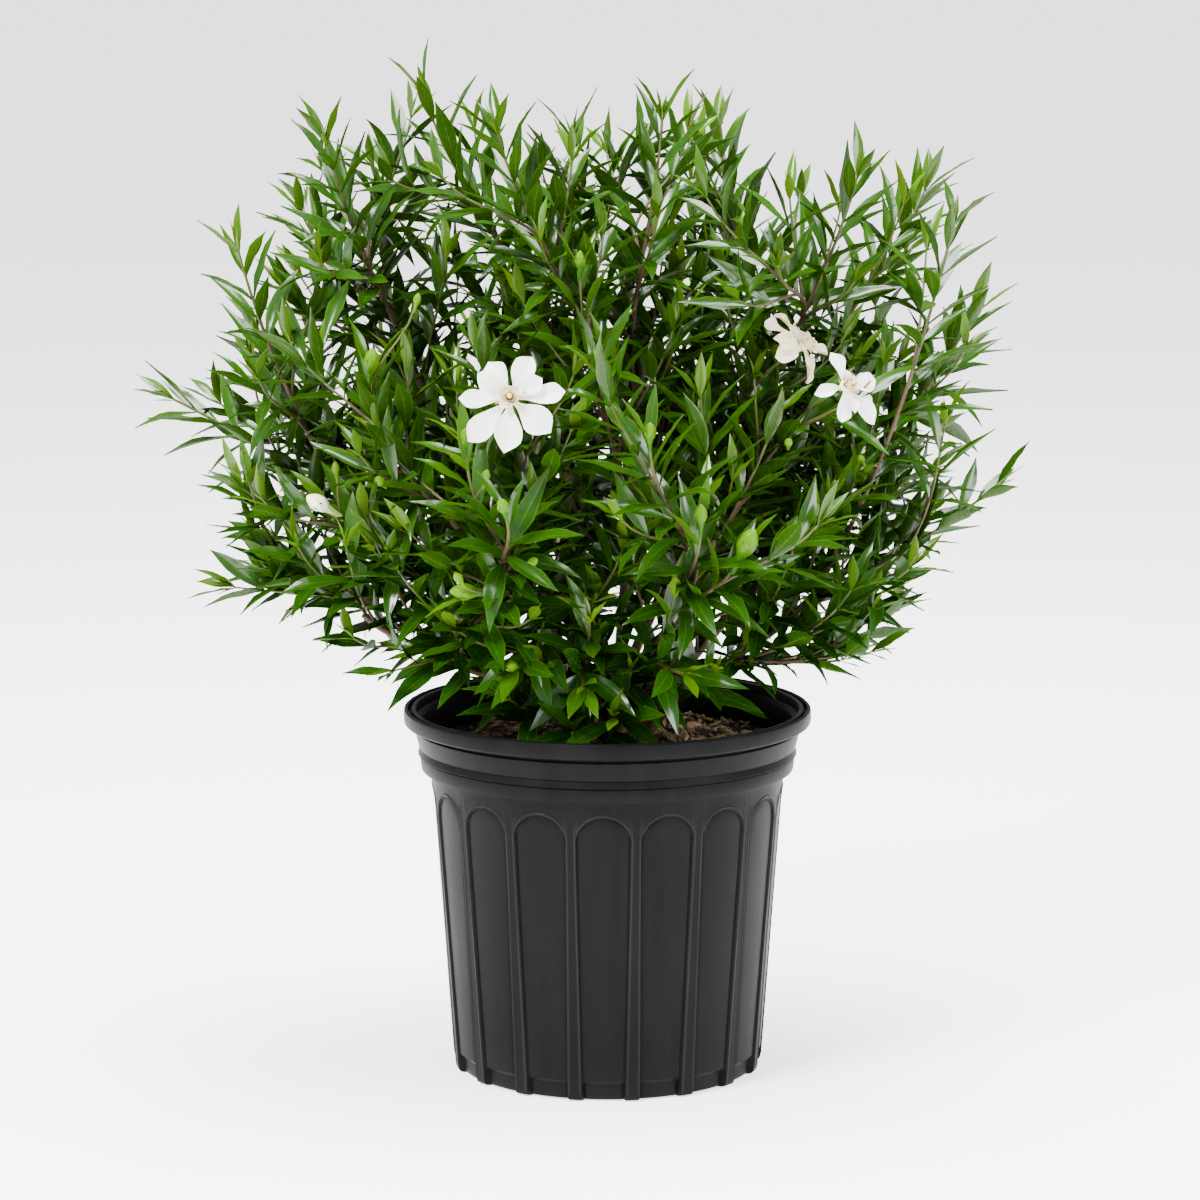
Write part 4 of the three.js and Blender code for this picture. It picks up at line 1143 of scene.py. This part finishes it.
def add_petal(bm, matrix, draw, wide, arch, cup, wave, age):
    """Adds one petal: c runs across it from -1 to 1 and s along it from 0 to 1."""
    sheet = start_piece("age", blade=True)
    bmesh.ops.create_grid(sheet, x_segments=10, y_segments=14, size=0.5, calc_uvs=True)
    phase, waves, sweep, skew = draw(0, 6.3), draw(1.1, 2.3), draw(-0.08, 0.08), draw(-0.1, 0.1)
    roll, twist = draw(0.5, 1.0), draw(-0.35, 0.35)
    for vert in sheet.verts:
        c, s = vert.co.x * 2, 1 - (0.5 - vert.co.y) ** 1.15
        half = petal_half(s) * wide
        edge = abs(c) ** 3 * min(1, 3 * petal_half(s))
        ripple = wave * math.sin(waves * 6.28 * s + phase + 1.6 * c) * edge * s
        lap = -0.35 * wave * roll * edge * max(0, s - 0.5)
        turn = twist * s * s
        x = c * half * (1 + skew * c)
        z = cup * c * c * half + 0.26 * half * abs(c) ** 1.4 + ripple + lap
        vert.co = (x * math.cos(turn) - z * math.sin(turn) + sweep * s * s, s * (1 - 0.35 * abs(arch)),
                   z * math.cos(turn) + x * math.sin(turn) - arch * s * s)
    bmesh.ops.remove_doubles(sheet, verts=sheet.verts, dist=1e-4)
    bmesh.ops.solidify(sheet, geom=sheet.faces, thickness=0.012)
    add_made(bm, sheet, matrix, age=age)


def petal_matrix(around, spread, length, lift):
    out = Vector((math.cos(around), math.sin(around), 0))
    along = out * math.sin(spread) + UP * math.cos(spread)
    face = UP * math.sin(spread) - out * math.cos(spread)
    return blade_matrix((0, 0, lift), along, face, length)


def facing(tip, face, size):
    turn = UP.rotation_difference(face).to_matrix().to_4x4()
    return Matrix.Translation(tip) @ turn @ Matrix.Scale(size, 4)


def to_tip(bm, shoot):
    """Carries a piece that was made upright at the origin to the tip of its shoot."""
    bmesh.ops.transform(bm, matrix=facing(shoot.tip, shoot.face, shoot.size), verts=bm.verts)


# %% Blooms and their hearts
# The outer petals of each bloom: angle in degrees, length in millimetres, half width as a share
# of the length. The inner ones: angle, length as a share of a full petal, and how far they lean out
OUTER = {
    "bloom_front": [(222, 41, 0.21), (262, 38, 0.25), (317, 36, 0.28), (4, 37, 0.19), (57, 32, 0.26),
                    (114, 31, 0.24), (178, 35, 0.17), (139, 28, 0.22)],
    "bloom_right": [(2, 34, 0.17), (333, 39, 0.19), (283, 31, 0.22), (44, 26, 0.19), (132, 30, 0.22),
                    (217, 28, 0.19), (310, 24, 0.2)],
    "bloom_old": [(150, 44, 0.22), (112, 40, 0.2), (186, 46, 0.22), (222, 42, 0.2), (248, 44, 0.2),
                  (332, 36, 0.22), (20, 31, 0.18)],
}
INNER = [(27, 0.68, 64), (52, 0.38, 40), (140, 0.42, 44), (165, 0.66, 62), (220, 0.36, 40), (320, 0.3, 36)]


FULL_PETAL = 38
# Outlines, as radius and height: the slim tube below the petals and the stigma above them
TUBE = [(0, 0.3), (1.6, 0.3), (1.9, 6), (2.6, 12), (4.2, 14.2), (5, 15.2), (2.6, 17.8), (0, 18)]
STIGMA = [(0, 18.3), (1.6, 18.3), (1.1, 21), (1.2, 23), (1.7, 25.2), (1.6, 27), (0.9, 28.1), (0, 28.4)]


def add_swirl(bm, age):
    """The innermost petals, still furled: a strip rolled into a loose spiral cup."""
    sheet = start_piece("age", blade=True)
    bmesh.ops.create_grid(sheet, x_segments=56, y_segments=5, size=0.5, calc_uvs=True)
    for vert in sheet.verts:
        u, v = vert.co.x + 0.5, vert.co.y + 0.5
        around = 2 * math.pi * 2.35 * u + 0.6
        radius = (2.7 + 2.9 * u) * (0.5 + 0.5 * v) + 1.1 * u * v * v + 0.25 * math.sin(5 * around) * v
        rise = 16.5 + (11.5 - 4.2 * u + 0.7 * math.sin(3.7 * around)) * v
        vert.co = (radius * math.cos(around), radius * math.sin(around), rise)
    bmesh.ops.solidify(sheet, geom=sheet.faces, thickness=0.3)
    add_made(bm, sheet, Matrix.Identity(4), age=age)


for shoot in bloom_shoots:
    size, old = shoot.size, shoot.spray == "bloom_old"
    draw = draws(811 + int(1000 * size))
    bm, tube = start_piece("age", blade=True), bmesh.new()
    lathe(tube, TUBE, 20)
    add_made(bm, tube, Matrix.Identity(4))
    aged = 0.8 if old else 0.0
    for degrees, length, wide in OUTER[shoot.spray]:
        spread = math.radians(draw(70, 86) + (16 if old else 0))
        matrix = petal_matrix(math.radians(degrees), spread, length, 14)
        add_petal(bm, matrix, draw, wide, draw(0.06, 0.26), draw(-0.1, 0.5), 0.06 + 0.05 * old,
                  aged + draw(0, 0.1))
    for degrees, share, spread in INNER if size == 1 else INNER[::2]:
        matrix = petal_matrix(math.radians(degrees + draw(-8, 8)), math.radians(spread + draw(-5, 5)),
                              FULL_PETAL * share, 14.8)
        add_petal(bm, matrix, draw, 0.3, draw(0.04, 0.14), draw(0.2, 0.6), 0.05, aged + draw(0, 0.15))
    add_swirl(bm, 1.0)
    to_tip(bm, shoot)
    keep("white_" + shoot.spray, bm, petal, "petal", shoot.spray, smooth=50)
    bm = bmesh.new()
    lathe(bm, STIGMA, 16)
    for i in range(7):
        around = 2 * math.pi * i / 7 + draw(-0.2, 0.2)
        made = bmesh.ops.create_cone(bm, segments=6, radius1=0.8, radius2=0.3, depth=8)["verts"]
        for vert in made:
            vert.co.x += 0.03 * (vert.co.z + 4) ** 2
        spin = Matrix.Rotation(around, 4, "Z") @ Matrix.Translation((2.2, 0, 18.6))
        spin = spin @ Matrix.Rotation(1.05 + draw(-0.12, 0.12), 4, "Y") @ Matrix.Translation((0, 0, 4))
        bmesh.ops.transform(bm, matrix=spin, verts=made)
    to_tip(bm, shoot)
    keep("cream_heart_" + shoot.spray, bm, heart, "flower_heart", shoot.spray + "_centre", smooth=45)

# %% [markdown]
# A bud is its furled petals: five of them wind round it, and each one's edge is a soft ridge. The
# outline is spun into a body, and a rule that twists with height pushes the furrows in.

# %% Buds
BUD_OUTLINE = [(0, -0.56), (0.2, -0.55), (0.26, -0.4), (0.34, -0.2), (0.46, -0.04), (0.5, 0.01), (0.48, 0.04),
               (0.6, 0.12), (0.8, 0.24), (0.95, 0.36), (1.0, 0.47), (0.97, 0.58), (0.84, 0.71), (0.62, 0.83),
               (0.38, 0.92), (0.16, 0.98), (0, 1)]
BUD_RADIUS, BUD_LENGTH = 5.8, 20
for shoot in bud_shoots:
    bm = start_piece("age")
    layer = bm.verts.layers.float["age"]
    lathe(bm, [(r * BUD_RADIUS, z * BUD_LENGTH + 0.3) for r, z in BUD_OUTLINE], 30)
    for vert in bm.verts:
        up = max(0.0, vert.co.z / BUD_LENGTH)
        around = math.atan2(vert.co.y, vert.co.x) - 1.9 * up
        furrow = 1 - 0.2 * (1 - abs(math.cos(2.5 * around))) ** 2 * min(1, 3 * up)
        vert.co.x *= furrow
        vert.co.y *= furrow
        vert[layer] = min(1.0, up)
    to_tip(bm, shoot)
    finish, slot = (pale, "pale_bud") if shoot.spray == "bud_white" else (bud, "green_bud")
    keep("furled_" + shoot.spray, bm, finish, slot, shoot.spray, smooth=60)

# %% [markdown]
# The photograph shows a few more buds that are too small for the solids. Each one stands on a
# short stalk that leaves the nearest shoot.

# %% Small buds
SMALL_BUDS = [((-80, -150, 428), 0.5), ((-181, -60, 420), 0.5), ((-148, -110, 421), 0.55),
              ((-126, -100, 538), 0.45), ((-52, -140, 372), 0.5), ((118, -120, 448), 0.45),
              ((170, -70, 430), 0.4), ((-95, -150, 362), 0.5)]
stalks, bodies = start_piece("green"), start_piece("age")
joints = [(s.curve.at(i / 20), s.curve.way(i / 20)) for s in shoots for i in range(6, 19)]
for tip, size in SMALL_BUDS:
    tip = Vector(tip)
    start, way = min(joints, key=lambda place: abs((tip - place[0]).length - 22)
                     + 0.2 * abs(place[0].z - tip.z + 15))
    face = blend((tip - start).normalized(), UP, 0.4)
    add_stem(stalks, Bow(start, way, tip, face), (1.0, 0.8), (0.8, 1.0), 6, 6)
    body = bmesh.new()
    lathe(body, [(r * BUD_RADIUS, z * BUD_LENGTH) for r, z in BUD_OUTLINE], 16)
    add_made(bodies, body, facing(tip, face, size), age=0.8)
keep("small_bud_stalks", stalks, bark, "bark", smooth=60)
keep("small_buds", bodies, bud, "green_bud", smooth=60)

# %% [markdown]
# The stage: a plain pale floor that fills the view, soft even light from the world, and three
# large soft lamps, as in a studio: the key above on the left, a weaker one on the right to fill
# the shadows, and one straight above.

# %% Floor and light
bm = bmesh.new()
bmesh.ops.create_grid(bm, x_segments=1, y_segments=1, size=60)
floor_mesh = master_mesh("floor", bm)
floor_finish = Finish("studio_floor", Roughness=0.9, Emission_Color=(1, 1, 1, 1), Emission_Strength=1.7)
floor_finish.set(Base_Color="f4f4f4")
floor_mesh.materials.append(floor_finish.material)
floor = put("floor", floor_mesh)

world = bpy.data.worlds.new("studio")
world.use_nodes = True
world.node_tree.nodes["Background"].inputs[0].default_value = (1, 1, 1, 1)
world.node_tree.nodes["Background"].inputs[1].default_value = 0.85
bpy.context.scene.world = world
for name, where, size, power in [("key", (-1.6, -1.8, 2.6), 1.2, 360), ("fill", (2.1, -1.3, 1.5), 1.4, 110),
                                 ("top", (0.2, 0.2, 2.9), 1.6, 300)]:
    lamp = bpy.data.lights.new(name, "AREA")
    lamp.size, lamp.energy = size, power
    holder = put(name, lamp)
    holder.location = where
    aim = Vector((0, 0, 0.35)) - Vector(where)
    holder.rotation_euler = aim.to_track_quat("-Z", "Y").to_euler()
print("stage ready")
